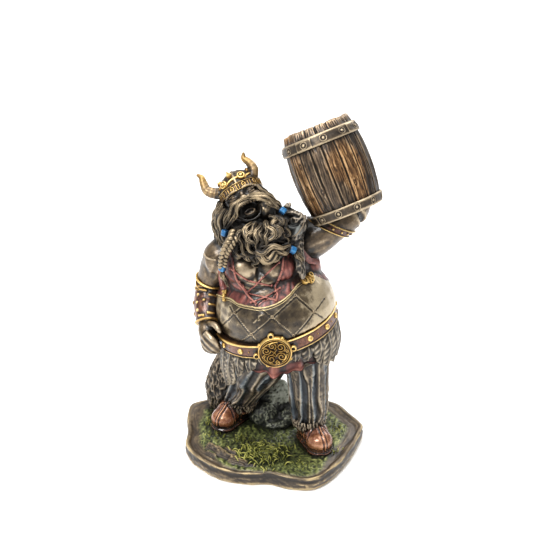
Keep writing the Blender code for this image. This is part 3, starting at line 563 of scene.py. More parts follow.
CORNERS = [
    (6, 0.99), (15, 1.04), (31, 1.03), (48, 1.09), (70, 1.03), (92, 0.99), (115, 1.08), (137, 1.25),
    (150, 1.16), (175, 0.98), (191, 1.00), (208, 0.98), (230, 0.96), (249, 0.91), (266, 0.86),
    (280, 0.97), (294, 1.05), (312, 0.96), (339, 0.90),
]


def ground():
    """The slab: a rough broken edge with a rubbed rim, turf inside it and bare ledges at the front."""
    rows = [(math.cos(math.radians(d)) * s * 42.0, math.sin(math.radians(d)) * s * 34.5, 0.0) for d, s in CORNERS]
    line = fine_rows(rows + rows[:1], 16)[:-1]
    n = len(line)
    edge = line[:, :2] - rows_unit(line[:, :2]) * 0.35
    shares = np.concatenate([np.linspace(0.01, 0.78, 50), np.linspace(0.79, 0.992, 32)])
    top = edge[:, None, :] * shares[None, :, None]
    x, y = top[..., 0], top[..., 1]
    flat3 = np.stack([x, y, 0 * x], axis=-1)
    inner = 1.0 - shares[None, :] + 0.030 * noise(flat3, 6.0, 2) + 0.014 * noise(flat3, 1.5, 12)
    rim_wide = 0.040 + 0.12 * step(12, 32, x) + 0.11 * step(-12, -32, x) + 0.05 * step(8, 24, y) + 0.035 * noise(flat3, 8.0, 5)
    rim = 1.0 - step(rim_wide - 0.03, rim_wide + 0.045, inner)
    turf = 1.0 - rim
    blades = 1.0 - np.abs(noise(flat3, (0.8, 2.0, 1.0), 21)) * 2.0
    course = np.arctan2(y / 34.5, x / 42.0) * 38.0
    strata = layers(np.stack([course, shares[None, :] * 40.0 + 0 * x, 0 * x], -1), (8.0, 1.2, 1.0), 14)
    lift = 0.55 * noise(flat3, 10.0, 61) * step(0.5, 0.95, shares[None, :])
    z = 7.0 + lift + turf * (0.45 * layers(flat3, 7.0, 3) + 0.34 * layers(flat3, 1.3, 8) + 0.26 * blades + 0.35)
    z = z + rim * (0.30 * strata + 0.40 * bump(shares[None, :] - 0.972, 0.03) - 0.35 * bump(inner - rim_wide * 0.5, 0.05))
    dull = 0.0
    # Bare slates that break through the turf at the front left.
    for px, py, wide, long, turn, high in (
        (-27.0, -12.0, 5.6, 2.1, 0.62, 0.9), (-22.5, -17.0, 5.6, 2.0, 0.55, 0.6), (-16.5, -21.5, 4.4, 2.0, 0.42, 0.8),
        (-29.5, -15.5, 3.2, 1.3, 0.72, 0.3), (-20.5, -13.2, 3.4, 1.3, 0.60, 0.35), (-11.0, -24.3, 3.2, 1.1, 0.28, 0.3),
    ):
        u = (x - px) * math.cos(turn) - (y - py) * math.sin(turn)
        v = (x - px) * math.sin(turn) + (y - py) * math.cos(turn)
        edge_share = np.maximum(np.abs(u) / wide, np.abs(v) / long) + 0.16 * noise(flat3, 1.6, 17)
        plate = step(1.08, 0.92, edge_share)
        steps = np.floor((v / long + 0.4 * noise(flat3, (6.0, 6.0, 1.0), 19)) * 2.2) * 0.30
        z = z * (1 - plate) + (7.2 + high + steps + 0.10 * strata) * plate
        rim = np.maximum(rim, plate)
        dull = np.maximum(dull, plate)
    tint = rim.copy()
    # Painted shade on the turf under the figure.
    painted_shade_under_figure = -0.16 * bump(np.hypot((x + 1) / 1.5, y - 7), 16.0) * (1 - rim)
    spots = 0.26 * layers(flat3, (3.5, 4.5, 1.0), 31) * (1 - rim) - 0.24 * dull + 0.10 * rim * strata
    net = [np.concatenate([top, z[..., None]], axis=-1)]
    edge_glow = (0.02 + 0.40 * noise(flat3, 5.0, 71)) * bump(shares[None, :] - 0.990, 0.012)
    rub = [painted_shade_under_figure + spots + edge_glow]
    sides, side_rub = [], []
    for k, (share, level) in enumerate(((1.0, 6.9), (1.004, 6.5), (1.0, 5.9), (0.996, 5.2), (1.0, 4.5), (1.006, 3.8), (1.004, 3.0),
                                        (1.0, 2.2), (0.996, 1.4), (0.988, 0.7), (0.975, 0.15), (0.965, 0.0))):
        ring = np.concatenate([edge * share, (level * (1.0 + lift[:, -1] / 7.0))[:, None]], axis=1)
        rough = 0.60 * layers(ring * [1, 1, 2.2], 5.0, 40) + 0.30 * layers(ring * [1, 1, 3.0], 1.7, 44)
        if level <= 0.2:
            rough = rough * 0.4
        ring[:, :2] += rows_unit(ring[:, :2]) * rough[:, None] * min(1.0, k * 0.5)
        sides.append(ring)
        # Below the top edge the wall is darker, and darkest in its lowest band by the floor: painted shade.
        side_rub.append(np.full(n, -0.62 if level < 1.5 else -0.36) if k > 1 else -0.22 + 0.40 * noise(ring, 5.0, 71))
    net.append(np.stack(sides, axis=1))
    rub.append(np.stack(side_rub, axis=1))
    net.append(np.concatenate([edge * 0.5, np.zeros((n, 1))], axis=1)[:, None, :])
    net.append(np.concatenate([edge * 0.01, np.zeros((n, 1))], axis=1)[:, None, :])
    rub.append(np.full((n, 2), -0.1))
    tint = np.concatenate([tint, np.ones((n, 14))], axis=1)
    shape = Shape()
    shape.grid(np.concatenate(net, axis=1), round_u=True, tint=tint, rub=np.concatenate(rub, axis=1))
    piece(shape, "ground", TURF, "painted_turf", reach=0.5)


def grass():
    """Blades of grass in tufts, and long blades that lie over each other in the middle."""
    rng = np.random.default_rng(5)
    shape = Shape()
    tufts = [(-9, -9, 4.5, 80), (-5, -15, 4.5, 85), (1, -19, 4, 34), (-15, -4, 3.5, 36), (-27, 0, 3.0, 30), (29, 4, 3.5, 22),
             (-31, 9, 2.5, 14), (4, -12, 4, 26), (12, -23, 3.5, 16), (27, -14, 2.5, 10), (-3, -23, 4, 20)]
    for x, y, spread, count in tufts:
        for _ in range(count):
            bx, by = x + rng.normal() * spread * 0.6, y + rng.normal() * spread * 0.5
            turn = rng.random() * 2 * math.pi
            lean = np.array([math.cos(turn), 0.6 * math.sin(turn), 0.0]) * (0.5 + rng.random() * 0.9)
            high = 0.9 + rng.random() * 1.3
            root = np.array([bx, by, 7.1])
            rows = [(*root, 0.25), (*(root + lean * 0.35 + [0, 0, high * 0.6]), 0.23), (*(root + lean + [0, 0, high]), 0.07)]
            sweep(shape, rows, sides=4, steps=2, rub=-0.25 + 0.50 * rng.random())
    for _ in range(150):
        # Long blades that lie over each other in the middle.
        root = np.array([-6.5 + rng.normal() * 6.0, -14.5 + rng.normal() * 3.8, 7.2])
        turn = -0.75 + rng.normal() * 0.75 + (math.pi if rng.random() < 0.25 else 0.0)
        lean = np.array([math.cos(turn), math.sin(turn), 0.0]) * (2.2 + 2.6 * rng.random())
        high = 1.0 + 0.9 * rng.random()
        rows = [(*root, 0.30), (*(root + lean * 0.35 + [0, 0, high]), 0.30), (*(root + lean + [0, 0, high * 0.55]), 0.08)]
        sweep(shape, rows, sides=4, steps=3, rub=-0.10 + 0.50 * rng.random())
    piece(shape, "grass", GRASS, "painted_turf", reach=0.6)


def rock():
    """The mossy rock that backs the legs."""
    shape = Shape()
    for centre, halves in (
        ((4, 20, 12), (9, 7, 9.5)), ((-5, 13, 11), (8, 7, 7.5)), ((7, 12, 9.5), (6, 6, 5)), ((-15, 22, 12), (9, 6, 9)),
        ((-2, 17, 16), (7, 5, 7.5)), ((1, 7.5, 8), (7, 4, 3)), ((3.6, 17.5, 18.0), (5.2, 4.6, 8.9)),
    ):
        ball(shape, centre, halves)
    obj = cast(shape, "mossy_rock", 0.56, 2)

    def relief(points, normals):
        leaf = 1.0 - np.abs(noise(points, (0.9, 0.9, 1.3), 5)) * 2.2
        return 0.6 * layers(points, 2.6, 2) + 0.35 * leaf - 0.5

    carve(obj, relief)
    points, _, _ = arrays(obj)
    bare = step(14.5, 17.5, points[:, 2] + 3.0 * noise(points, 2.8, 8)) * step(-3.0, 0.0, points[:, 0])
    finish_piece(obj, MOSS, "painted_turf", bare, -0.06 + 0.46 * bare + 0.20 * layers(points, 3.0, 9), reach=0.6)


# Places on the figure

SEEN_UP = np.array([0.0, math.sin(math.radians(25.0)), math.cos(math.radians(25.0))])
SEEN_IN = np.array([0.0, math.cos(math.radians(25.0)), -math.sin(math.radians(25.0))])


def seen(points):
    """Across and up as the front shows them from 25 degrees above, in millimetres."""
    return points[..., 0], points @ SEEN_UP


def from_line(x, v, line):
    """Distance from a polyline of (across, up) in that front view."""
    best = np.full(np.shape(x), 1e9)
    for (ax, av), (bx, bv) in zip(line[:-1], line[1:]):
        dx, dv = bx - ax, bv - av
        t = np.clip(((x - ax) * dx + (v - av) * dv) / (dx * dx + dv * dv), 0.0, 1.0)
        best = np.minimum(best, np.hypot(x - ax - t * dx, v - av - t * dv))
    return best


def quads_of(obj):
    mesh = obj.data
    corners = np.empty(len(mesh.loops), dtype=np.int64)
    mesh.loops.foreach_get("vertex_index", corners)
    return corners.reshape(-1, 4)


def split(obj, masks):
    """Cuts a skin of quads into named objects, one for each (name, mask of its corners)."""
    points, _, _ = arrays(obj)
    faces = quads_of(obj)
    made = []
    taken = np.zeros(len(faces), bool)
    for name, mask in masks:
        keep = (mask[faces].sum(axis=1) >= 2) & ~taken
        taken |= keep
        used, local = np.unique(faces[keep], return_inverse=True)
        mesh = bpy.data.meshes.new(name)
        mesh.from_pydata((points[used] * MM).tolist(), [], local.reshape(-1, 4).tolist())
        mesh.update()
        part = bpy.data.objects.new(name, mesh)
        bpy.context.scene.collection.objects.link(part)
        made.append((part, used))
    bpy.data.objects.remove(obj)
    return made


def body_tree(obj):
    points, _, _ = arrays(obj)
    return BVHTree.FromPolygons(points.tolist(), quads_of(obj).tolist())


def on_body(tree, x, v, lift=0.0):
    """The point of the body that the front view shows at (across, up), lifted off its surface."""
    start = np.array([x, 0.0, 0.0]) + SEEN_UP * v - SEEN_IN * 200.0
    place, normal, _, _ = tree.ray_cast(Vector(start), Vector(SEEN_IN))
    return np.array(place) + np.array(normal) * lift, np.array(normal)


def laid(tree, line, radius, lift, steps=6):
    """Rows for sweep() of a cord laid on the body along a line of (across, up)."""
    fine = fine_rows([(x, v, 0.0) for x, v in line], steps)
    return [(*on_body(tree, x, v, lift)[0], radius) for x, v, _ in fine]


# Trunk: chest, vest and the quilted leather apron

ROPE_LINE = [
    (-24.7, 73.2), (-21.5, 72.4), (-18.7, 71.9), (-15.1, 69.8), (-10.5, 68.8), (-5.8, 68.3),
    (-1.6, 69.2), (2.7, 71.3), (6.1, 74.1), (9.0, 77.5), (11.2, 79.2),
]
VEST_LEFT = [(-17.9, 92.0), (-17.9, 88.5), (-17.0, 83.4), (-15.6, 79.6), (-12.6, 75.8), (-10.5, 73.2), (-8.4, 71.1), (-7.5, 68.0)]
VEST_RIGHT = [(3.4, 92.0), (2.9, 88.5), (2.5, 83.8), (1.0, 79.6), (-0.3, 76.6), (0.4, 74.6), (-1.4, 72.6), (-5.4, 71.3), (-7.4, 69.4)]
SEAMS = [
    [(6.3, 75.3), (8.2, 73.6), (12.0, 70.3), (16.0, 66.9), (20.1, 64.3), (25.0, 61.5)],
    [(-6.2, 68.1), (-4.5, 67.1), (-1.4, 64.7), (2.9, 60.9), (7.5, 56.9), (12.0, 53.0)],
    [(-18.7, 69.0), (-17.0, 66.2), (-13.6, 61.8), (-10.0, 57.3), (-6.5, 53.5)],
    [(8.2, 73.2), (3.5, 69.0), (-1.4, 64.7), (-5.8, 60.9), (-10.0, 57.3), (-13.9, 54.6)],
    [(20.5, 72.5), (16.0, 66.9), (12.0, 61.8), (7.5, 56.9), (3.0, 51.5)],
    [(-13.6, 69.0), (-17.0, 66.2), (-19.2, 63.9), (-23.5, 60.2)],
]
CROSSINGS = [(8.2, 73.5), (16.0, 66.9), (-1.4, 64.7), (7.5, 56.9), (-17.0, 66.2), (-10.0, 57.3), (-6.2, 68.4)]
LACES = [
    [(1.4, 87.2), (-3.0, 83.0), (-7.3, 78.7), (-11.7, 74.9)],
    [(-18.5, 84.7), (-11.7, 80.0), (-7.3, 78.7), (-1.6, 77.5)],
    [(-10.0, 70.5), (-4.1, 72.8), (1.8, 76.4)],
    [(-15.0, 79.5), (-12.4, 76.0), (-10.5, 74.1), (-5.0, 72.8), (0.1, 71.5)],
]


def trunk():
    shape = Shape()
    for centre, halves in (
        ((0.4, -2.0, 76.6), (26.2, 27.0, 22.4)), ((1, 0, 62), (25.2, 23.5, 15)), ((-3.5, 2, 96), (19.8, 17, 13)),
        ((-4, 9, 99), (20, 14, 12)), ((-0.5, 12, 80), (20.3, 13.0, 18)), ((-13.0, -11.5, 99.5), (8.4, 7.7, 7.5)),
        ((0.5, -11.5, 100.0), (8.2, 7.5, 7.5)), ((-6.5, -9.5, 94.0), (13.0, 10.5, 7.0)), ((11.4, 2.0, 93.0), (8.4, 9.0, 9.5)),
    ):
        ball(shape, centre, halves)
    sweep(shape, [(-3, 7, 101, 12), (-6, 6, 109, 11), (-10, 5, 117, 9.5)], sides=24)
    obj = cast(shape, "trunk", 0.55, 6)
    points, normals, _ = arrays(obj)
    x, v = seen(points)
    rope = np.array(ROPE_LINE)
    rope_level = np.interp(x, rope[:, 0], rope[:, 1])
    front = normals @ -SEEN_IN > -0.15
    below = (v < rope_level) | (x > 11.2) & (v < 82.8 - 0.42 * (x - 13.8)) | (x < -24.0) & (v < 73.5)
    apron = below & (points[:, 1] < 12.0)
    left = np.interp(v, [p[1] for p in reversed(VEST_LEFT)], [p[0] for p in reversed(VEST_LEFT)])
    right = np.interp(v, [p[1] for p in reversed(VEST_RIGHT)], [p[0] for p in reversed(VEST_RIGHT)])
    open_neck = front & (x > left) & (x < right) & (points[:, 1] < -5.0)
    vest = ~apron & ~open_neck
    seam = np.full(len(points), 1e9)
    under_seam = seam.copy()
    for line in SEAMS:
        seam = np.minimum(seam, from_line(x, v, line))
        under_seam = np.minimum(under_seam, from_line(x, v + 0.62, line))
    neck_edge = np.minimum(from_line(x, v, VEST_LEFT), from_line(x, v, VEST_RIGHT))
    quilt = apron & front
    relief = np.zeros(len(points))
    relief += np.where(quilt, -0.18 * bump(under_seam, 0.45) + 0.10 * bump(seam, 0.38), 0.0)
    relief += np.where(apron, 0.35 + 0.14 * layers(points, 5.0, 3) + 0.03 * layers(points, 1.0, 6), 0.0)
    scratch = from_line(x, v, [(-8.8, 62.4), (-7.6, 63.4), (-6.4, 63.4), (-6.9, 64.8), (-5.4, 65.5)])
    relief += np.where(quilt, 0.16 * bump(scratch, 0.5), 0.0)
    crease = 1.0 - np.abs(noise(points, (2.0, 2.0, 5.5), 12)) * 1.6
    relief += np.where(vest, 0.42 + 0.10 * layers(points, (1.4, 1.4, 3.2), 9) - 0.16 * np.clip(crease, 0, 1), 0.0)
    relief += np.where(vest & front, 0.35 * bump(neck_edge, 0.7), 0.0)
    middle = from_line(x, v, [(-6.8, 92.0), (-7.2, 82.0), (-6.6, 78.0)])
    fold = from_line(x, v, [(-13.5, 78.2), (-9.0, 76.6), (-5.0, 76.4), (-0.5, 77.8)])
    relief += np.where(open_neck, -0.45 * bump(middle, 1.6) - 0.5 * bump(fold, 1.2), 0.0)
    relief += np.where(open_neck, 0.12 * layers(points, 1.6, 4), 0.0)
    under_belt = np.abs((points - BELT_MIDDLE) @ BELT_Z)
    relief -= 1.7 * step(3.4, 2.7, under_belt) * step(4.0, 12.0, x)
    tint = np.where(apron & ~front, 0.4, 0.0)
    rub = np.where(apron, -0.05 + 0.16 * layers(points, (5.0, 5.0, 7.0), 8) + 0.25 * bump(scratch, 0.6), 0.0)
    # A painted highlight along each quilting seam and painted shade just below it.
    rub = rub + np.where(quilt, 0.20 * bump(seam, 0.36) - 0.22 * bump(under_seam, 0.45), 0.0)
    # Painted shade in the middle of the apron and painted highlights on both its sides.
    painted_shade_middle = bump(np.hypot((x + 3.0) / 1.3, v - 60.0), 14.0)
    rub = rub - np.where(apron, 0.10 * painted_shade_middle, 0.0)
    rub = rub + np.where(apron, 0.56 * step(8.0, 19.0, x) * step(50.0, 64.0, v) + 0.26 * step(-13.0, -23.0, x), 0.0)
    # Painted highlights on the chest, and painted shade along its lower edge above the apron's rope.
    rub = rub + np.where(open_neck, 0.02 + 0.35 * bump(np.hypot(x + 13.5, v - 84.5), 4.5) + 0.3 * bump(np.hypot(x + 5.5, v - 75.0), 3.0) - 0.6 * step(73.4, 71.8, v), 0.0)
    # The vest is darker on the figure's left half: painted shade.
    rub = rub + np.where(vest, 0.05 - 0.10 * step(-3.0, 1.0, x), 0.0)
    move(obj, points + normals * relief[:, None])
    tree = body_tree(obj)
    looks = {"apron": (APRON, "painted_leather"), "vest": (RED, "painted_cloth"), "chest": (SKIN, "cast_bronze")}
    for part, used in split(obj, [("apron", apron), ("chest", open_neck), ("vest", vest | apron | open_neck)]):
        material, slot = looks[part.name]
        finish_piece(part, material, slot, tint[used], rub[used], reach=0.22)
    return tree


def twisted(turns, strands=2, depth=0.2):
    """A rope's section for sweep()."""
    return lambda a, share: 1.0 + depth * np.cos(strands * (a + share * turns * 2 * math.pi))


def ring_rows(centre, axis, radius, cord, start=0.0, end=2 * math.pi, count=40, squash=1.0):
    """Rows for sweep() of a ring or an arc of one."""
    axis = unit(axis)
    side = unit(np.cross(axis, [0.0, -1.0, 0.1]))
    other = np.cross(axis, side)
    angles = np.linspace(start, end, count)
    return [(*(np.asarray(centre) + (side * math.cos(t) + other * math.sin(t) * squash) * radius), cord) for t in angles]


def stud(shape, place, out, radius, height, hole=0.0, tint=0.0):
    """A domed stud, or a ringed one where it has a hole, on a surface that faces out."""
    out = unit(out)
    side = unit(np.cross(out, [0.03, 0.1, 1.0]))
    other = np.cross(out, side)
    a = np.linspace(0, 2 * math.pi, 18, endpoint=False)
    if hole:
        profile = [(1.0, -0.4), (1.0, 0.45), (0.88, 0.9), (0.7, 1.0), (hole + 0.12, 0.75), (hole, 0.3), (hole * 0.5, 0.05), (0.02, 0.05)]
    else:
        profile = [(1.0, -0.4), (1.0, 0.1), (0.93, 0.45), (0.75, 0.78), (0.5, 0.95), (0.25, 1.0), (0.02, 1.0)]
    net = np.array([[np.asarray(place) + (side * math.cos(t) + other * math.sin(t)) * radius * r + out * height * z for r, z in profile] for t in a])
    shape.grid(net, round_u=True, tint=tint)


def trimmings(tree):
    """The apron's rope edge, its quilting studs and its clasps, the laces and the shoulder straps."""
    rope = Shape()
    edge = laid(tree, ROPE_LINE, 0.36, 0.28, 8)
    sweep(rope, edge, sides=12, section=twisted(50), steps=3, rub=0.12)
    lower = [(x, v - 0.95) for x, v in ROPE_LINE]
    sweep(rope, laid(tree, lower, 0.2, 0.0, 8), sides=8, steps=2, rub=-0.15)
    piece(rope, "apron_rope", ROPE, "painted_gold", reach=0.16)
    cords = Shape()
    for line in LACES:
        sweep(cords, laid(tree, line, 0.40, 0.30, 6), sides=12, section=twisted(9, 3, 0.10), steps=2, rub=-0.06)
        for x, v in (line[0], line[-1]):
            place, out = on_body(tree, x, v, 0.2)
            ball(cords, place, (0.7, 0.7, 0.7), around=10, down=8)
    for line, wide in (([(-7.5, 69.8), (-9.6, 71.6), (-11.4, 73.6), (-13.4, 76.4), (-15.9, 79.6), (-17.2, 84.0), (-17.9, 89.0)], 0.5),
                       ([(0.3, 71.0), (0.8, 74.0), (0.0, 76.8), (1.3, 80.0), (2.7, 84.0), (3.2, 89.0)], 0.5)):
        sweep(cords, laid(tree, line, wide, 0.1, 6), sides=10, steps=2, rub=-0.08)
    piece(cords, "laces", RED, "painted_cloth", reach=0.2)
    gold = Shape()
    for x, v in CROSSINGS:
        place, out = on_body(tree, x, v)
        stud(gold, place, out, 0.68, 0.42, hole=0.3)
    piece(gold, "quilt_studs", BRONZE, "cast_bronze", reach=0.2)
    clasps = Shape()
    for x, v, size in ((12.1, 79.3, 1.75), (14.7, 81.6, 1.35), (15.0, 79.0, 0.95), (11.0, 81.0, 0.7)):
        place, out = on_body(tree, x, v, 0.3)
        stud(clasps, place, out, size, 1.05, hole=0.36)
    for x, v, size in ((-21.3, 74.8, 0.95), (-21.3, 73.1, 1.05), (-21.2, 71.4, 0.8)):
        place, out = on_body(tree, x, v, 0.3)
        stud(clasps, place, out, size, 0.9, hole=0.3)
    for x, v, wide, high in ((13.4, 80.0, 2.7, 1.9), (15.2, 80.6, 1.7, 1.9), (-21.3, 73.2, 0.9, 2.7)):
        place, out = on_body(tree, x, v, 0.1)
        side = unit(np.cross(SEEN_UP, out))
        ball(clasps, place, (wide, high, 0.8), axes=(side, unit(np.cross(out, side)), out), around=20, down=12, rub=-0.1)
    piece(clasps, "apron_clasps", GOLD, "painted_gold", reach=0.25)
    straps = Shape()
    for rows in (
        [(-21.8, -15.8, 91.0, 1.0), (-22.8, -11.0, 97.5, 1.2), (-20.5, -3.4, 105.6, 1.3)],
        [(8.9, -9.0, 111.6, 1.0), (10.3, -10.8, 107.8, 1.2), (12.0, -10.6, 104.6, 1.3), (14.8, -8.4, 101.0, 1.3), (18.6, -4.6, 98.6, 1.0)],
    ):
        sweep(straps, rows, sides=40, steps=14, flat=(0.45, (0.0, -1.0, 0.6)),
              section=lambda a, share: 1.0 + 0.10 * noise(np.stack([np.cos(a) * 2, np.sin(a) * 2, a * 0 + share * 16], -1), 0.9, 3))
    piece(straps, "shoulder_straps", RED, "painted_cloth", reach=0.2)


# Belt, buckle, skirt and tassets

BELT_MIDDLE = np.array([0.7, -3.0, 70.1])
BELT_WIDE, BELT_DEEP = 26.6, 26.9
LEAN = math.radians(-13.2)
BELT_X = np.array([math.cos(LEAN), 0.0, -math.sin(LEAN)])
BELT_Y = np.array([0.0, 1.0, 0.0])
BELT_Z = np.cross(BELT_X, BELT_Y)


def on_belt(angle, level, out):
    """A point of the belt: angle 0 is the figure's left, level up its width, out from its face."""
    ring = BELT_X * math.cos(angle) * (BELT_WIDE + out) + BELT_Y * math.sin(angle) * (BELT_DEEP + out)
    return BELT_MIDDLE + ring + BELT_Z * level


def belt():
    n = 400
    a = np.linspace(0, 2 * math.pi, n, endpoint=False)[:, None]
    half = 2.9
    levels = np.concatenate([[-half, -half], np.linspace(-half, half, 28), [half, half]])[None, :]
    proud = np.ones(levels.shape[1])
    proud[[0, -1]] = 0.0
    proud[[1, -2]] = 0.82
    place = np.stack([np.cos(a) * 26 + 0 * levels, np.sin(a) * 26 + 0 * levels, levels + 0 * a], axis=-1)
    edge = np.abs(np.abs(levels) - 2.52)
    out = 0.25 + 0.10 * layers(place, 2.2, 3) + 0.06 * layers(place, 0.7, 5) + 0.42 * bump(edge, 0.36) - 0.20 * bump(np.abs(levels) - 2.0, 0.25)
    out = out + 0.06 * np.cos(a * 190.0) * bump(edge, 0.5)
    out = -3.4 + (3.4 + out) * proud[None, :]
    ring = BELT_X * (np.cos(a) * (BELT_WIDE + out))[..., None] + BELT_Y * (np.sin(a) * (BELT_DEEP + out))[..., None]
    net = BELT_MIDDLE + ring + BELT_Z * (levels + 0 * a)[..., None]
    gold = step(2.26, 2.38, np.abs(levels) + 0 * a) * proud[None, :]
    shape = Shape()
    # The belt's tucked-in edge rows are darkened: painted shade in the gap between belt and body.
    shape.grid(net, round_u=True, tint=gold, rub=-0.12 * gold - 0.9 * (1 - proud[None, :]))
    piece(shape, "belt", LEATHER, "painted_leather", reach=0.24)
    studs = Shape()
    for degrees in (-150, -126, -58, -36, -16, 8, 34, 60, 86, 112, 138, 162):
        angle = math.radians(degrees)
        radial = BELT_X * math.cos(angle) + BELT_Y * math.sin(angle)
        stud(studs, on_belt(angle, 0.0, 0.2), radial, 1.35, 0.95)
        stud(studs, on_belt(angle + 0.16, 0.0, 0.2), radial, 0.42, 0.3)
    piece(studs, "belt_studs", GOLD, "painted_gold", reach=0.4)


def buckle():
    """The round buckle: a corded rim round a knot of rings and scrolls, and three loops."""
    front = unit(BELT_X * -0.04 - BELT_Y)
    middle = on_belt(-math.pi / 2 - 0.04, -0.8, 0.0)
    side = unit(np.cross(BELT_Z, front)) * -1.0
    side = side if side[0] > 0 else -side
    rise = BELT_Z
    radius = 7.1
    a = np.linspace(0, 2 * math.pi, 220, endpoint=False)[:, None]
    r = np.concatenate([[1.0], np.linspace(1.0, 0.004, 54)])[None, :]
    x, y = np.cos(a) * r, np.sin(a) * r
    height = 0.75 + 0.62 * bump(r - 0.94, 0.062) + 0.30 * bump(r - 0.82, 0.045)
    away = np.full(x.shape, 1e9)
    for cx, cy, size, turns, start, way in (
        (-0.30, -0.36, 0.30, 1.55, 0.4, 1), (0.33, -0.32, 0.30, 1.55, 2.7, -1), (0.05, -0.66, 0.15, 1.2, 1.6, 1),
        (-0.47, 0.24, 0.26, 1.45, -0.3, -1), (-0.06, 0.48, 0.25, 1.45, -1.2, 1), (0.42, 0.30, 0.29, 1.5, -2.2, 1),
        (0.70, -0.02, 0.12, 1.1, 2.9, -1), (-0.68, -0.14, 0.12, 1.1, 0.2, 1),
    ):
        # One scroll: its line winds in from its outer end.
        share = np.linspace(0, 1, 26)
        turn = start + way * turns * 2 * math.pi * share
        wide = size * (1.0 - 0.80 * share)
        line = list(zip(cx + wide * np.cos(turn), cy + wide * np.sin(turn)))
        away = np.minimum(away, from_line(x, y, line))
    for line in (
        [(-0.20, -0.08), (0.0, 0.04), (0.14, 0.22)], [(0.06, -0.22), (0.0, 0.04), (-0.22, 0.22)], [(-0.62, 0.46), (-0.34, 0.62), (0.0, 0.72), (0.3, 0.66)],
        [(0.30, -0.66), (0.56, -0.46), (0.68, -0.2)], [(-0.26, -0.70), (-0.54, -0.52), (-0.70, -0.28)],
    ):
        away = np.minimum(away, from_line(x, y, line))
    knot = bump(away, 0.072) * (r < 0.80)
    knot = np.maximum(knot, bump(np.hypot(x, y - 0.04), 0.085))
    height = height + np.where(r < 0.80, 1.0 * knot - 0.45, 0.0)
    net = middle + (x * radius)[..., None] * side + (y * radius)[..., None] * rise
    height[:, 0] = -1.2
    net = net + height[..., None] * front
    shape = Shape()
    shape.grid(net, round_u=True, flip=True, rub=0.04 - 0.18 * (r < 0.80) * (1 - knot) + 0.36 * (r < 0.80) * knot)
    for across, up, size in ((0.0, 1.10, 1.3), (1.12, 0.05, 1.25), (-1.12, -0.02, 1.25)):
        place = middle + side * across * radius + rise * up * radius + front * 0.2
        stud(shape, place, front, size, 1.0, hole=0.5)
    for k in range(4):
        t = math.pi * (0.29 + 0.5 * k)
        stud(shape, middle + (side * math.cos(t) + rise * math.sin(t)) * radius * 1.0 + front * 0.1, front, 0.8, 0.9)
    piece(shape, "belt_buckle", GOLD, "painted_gold", reach=0.5)


def skirt():
    n = 340
    a = np.linspace(0, 2 * math.pi, n, endpoint=False)[:, None]
    x, y = np.cos(a), np.sin(a)
    low = 54.2 + 1.6 * np.abs(x) - 0.35 * np.cos(8 * a) + 0.40 * np.cos(25 * a + 0.6) + 4.4 * np.maximum(x, 0.0) - 1.0 * np.minimum(x, 0.0)
    t = np.concatenate([np.linspace(0, 1, 26), [1.0, 0.97, 0.9, 0.75]])[None, :]
    z = 67.0 + (low - 67.0) * t
    fold = np.cos(16 * a + 0.4 + 0.6 * np.sin(3 * a)) + 0.4 * np.cos(27 * a)
    out = 22.2 + 2.4 * t + fold * (0.25 + 0.9 * t) + 0.5 * bump(t - 1.0, 0.12)
    inner = np.zeros(t.shape)
    inner[0, -4:] = (0.0, 1.3, 1.6, 1.8)
    out = out - inner - 1.3 * step(-0.35, -0.75, x)
    place = np.stack([x * 22 + 0 * t, y * 22 + 0 * t, z], axis=-1)
    out = out + 0.16 * layers(place, (1.6, 1.6, 4.0), 4)
    net = np.stack([1.0 + x * out, -1.0 + y * (out - 1.2), z], axis=-1)
    shape = Shape()
    # The hem's turned-in rows are darkened: painted shade inside the hem.
    shape.grid(net, round_u=True, flip=True, rub=0.16 - 0.5 * (inner > 0.5) + 0 * a)
    piece(shape, "skirt_hem", RED, "painted_cloth", reach=0.5)


def leaf(shape, start, middle, end, wide, out, tip=0.25, veins=5.0, seed=0):
    """One tasset: a thick curled strip, ribbed down its middle, with slanting veins, narrowing to a rounded end."""
    line = fine_rows([start, middle, end], 10)
    n = len(line)
    share = np.linspace(0, 1, n)[:, None]
    along = rows_unit(np.gradient(line, axis=0))
    out = unit(out)
    side = rows_unit(np.cross(along, out))
    lift = rows_unit(np.cross(side, along))
    u = np.linspace(-1, 1, 11)[None, :]
    width = wide * (0.62 + 0.38 * np.sin(np.clip(share * 1.25, 0, 1) * math.pi)) * np.sqrt(np.clip(1.0 - (np.clip(share - 0.72, 0, 1) / 0.29) ** 2, 0, 1)) + 0.02
    width = width * (1.0 + 0.10 * noise(np.stack([share * 9 + seed, share * 0, share * 0], -1), 1.0, seed))
    curl = 1.1 * (1 - u * u) * (0.4 + 0.6 * share) - 0.25
    rib = 0.45 * bump(u, 0.22) + 0.20 * np.cos((share * veins - np.abs(u) * 0.9) * 2 * math.pi) * (1 - bump(u, 0.3)) * (1 - share * 0.3)
    front = line[:, None, :] + side[:, None, :] * (u * width)[..., None] + lift[:, None, :] * (curl + rib + 0.35)[..., None]
    back = line[:, None, :] + side[:, None, :] * (u * width * 0.96)[..., None] + lift[:, None, :] * (curl - 0.45)[..., None]
    net = np.concatenate([front, back[:, ::-1]], axis=1)
    # Rubbed edges and tips on the front; the back is darkened as painted shade.
    rub = np.concatenate([0.20 * np.abs(u) ** 4 - 0.18 + 0.22 * step(0.85, 1.0, share) + 0 * u, -0.35 + 0 * u + 0 * share], axis=1)
    shape.grid(net, round_v=True, rub=rub)


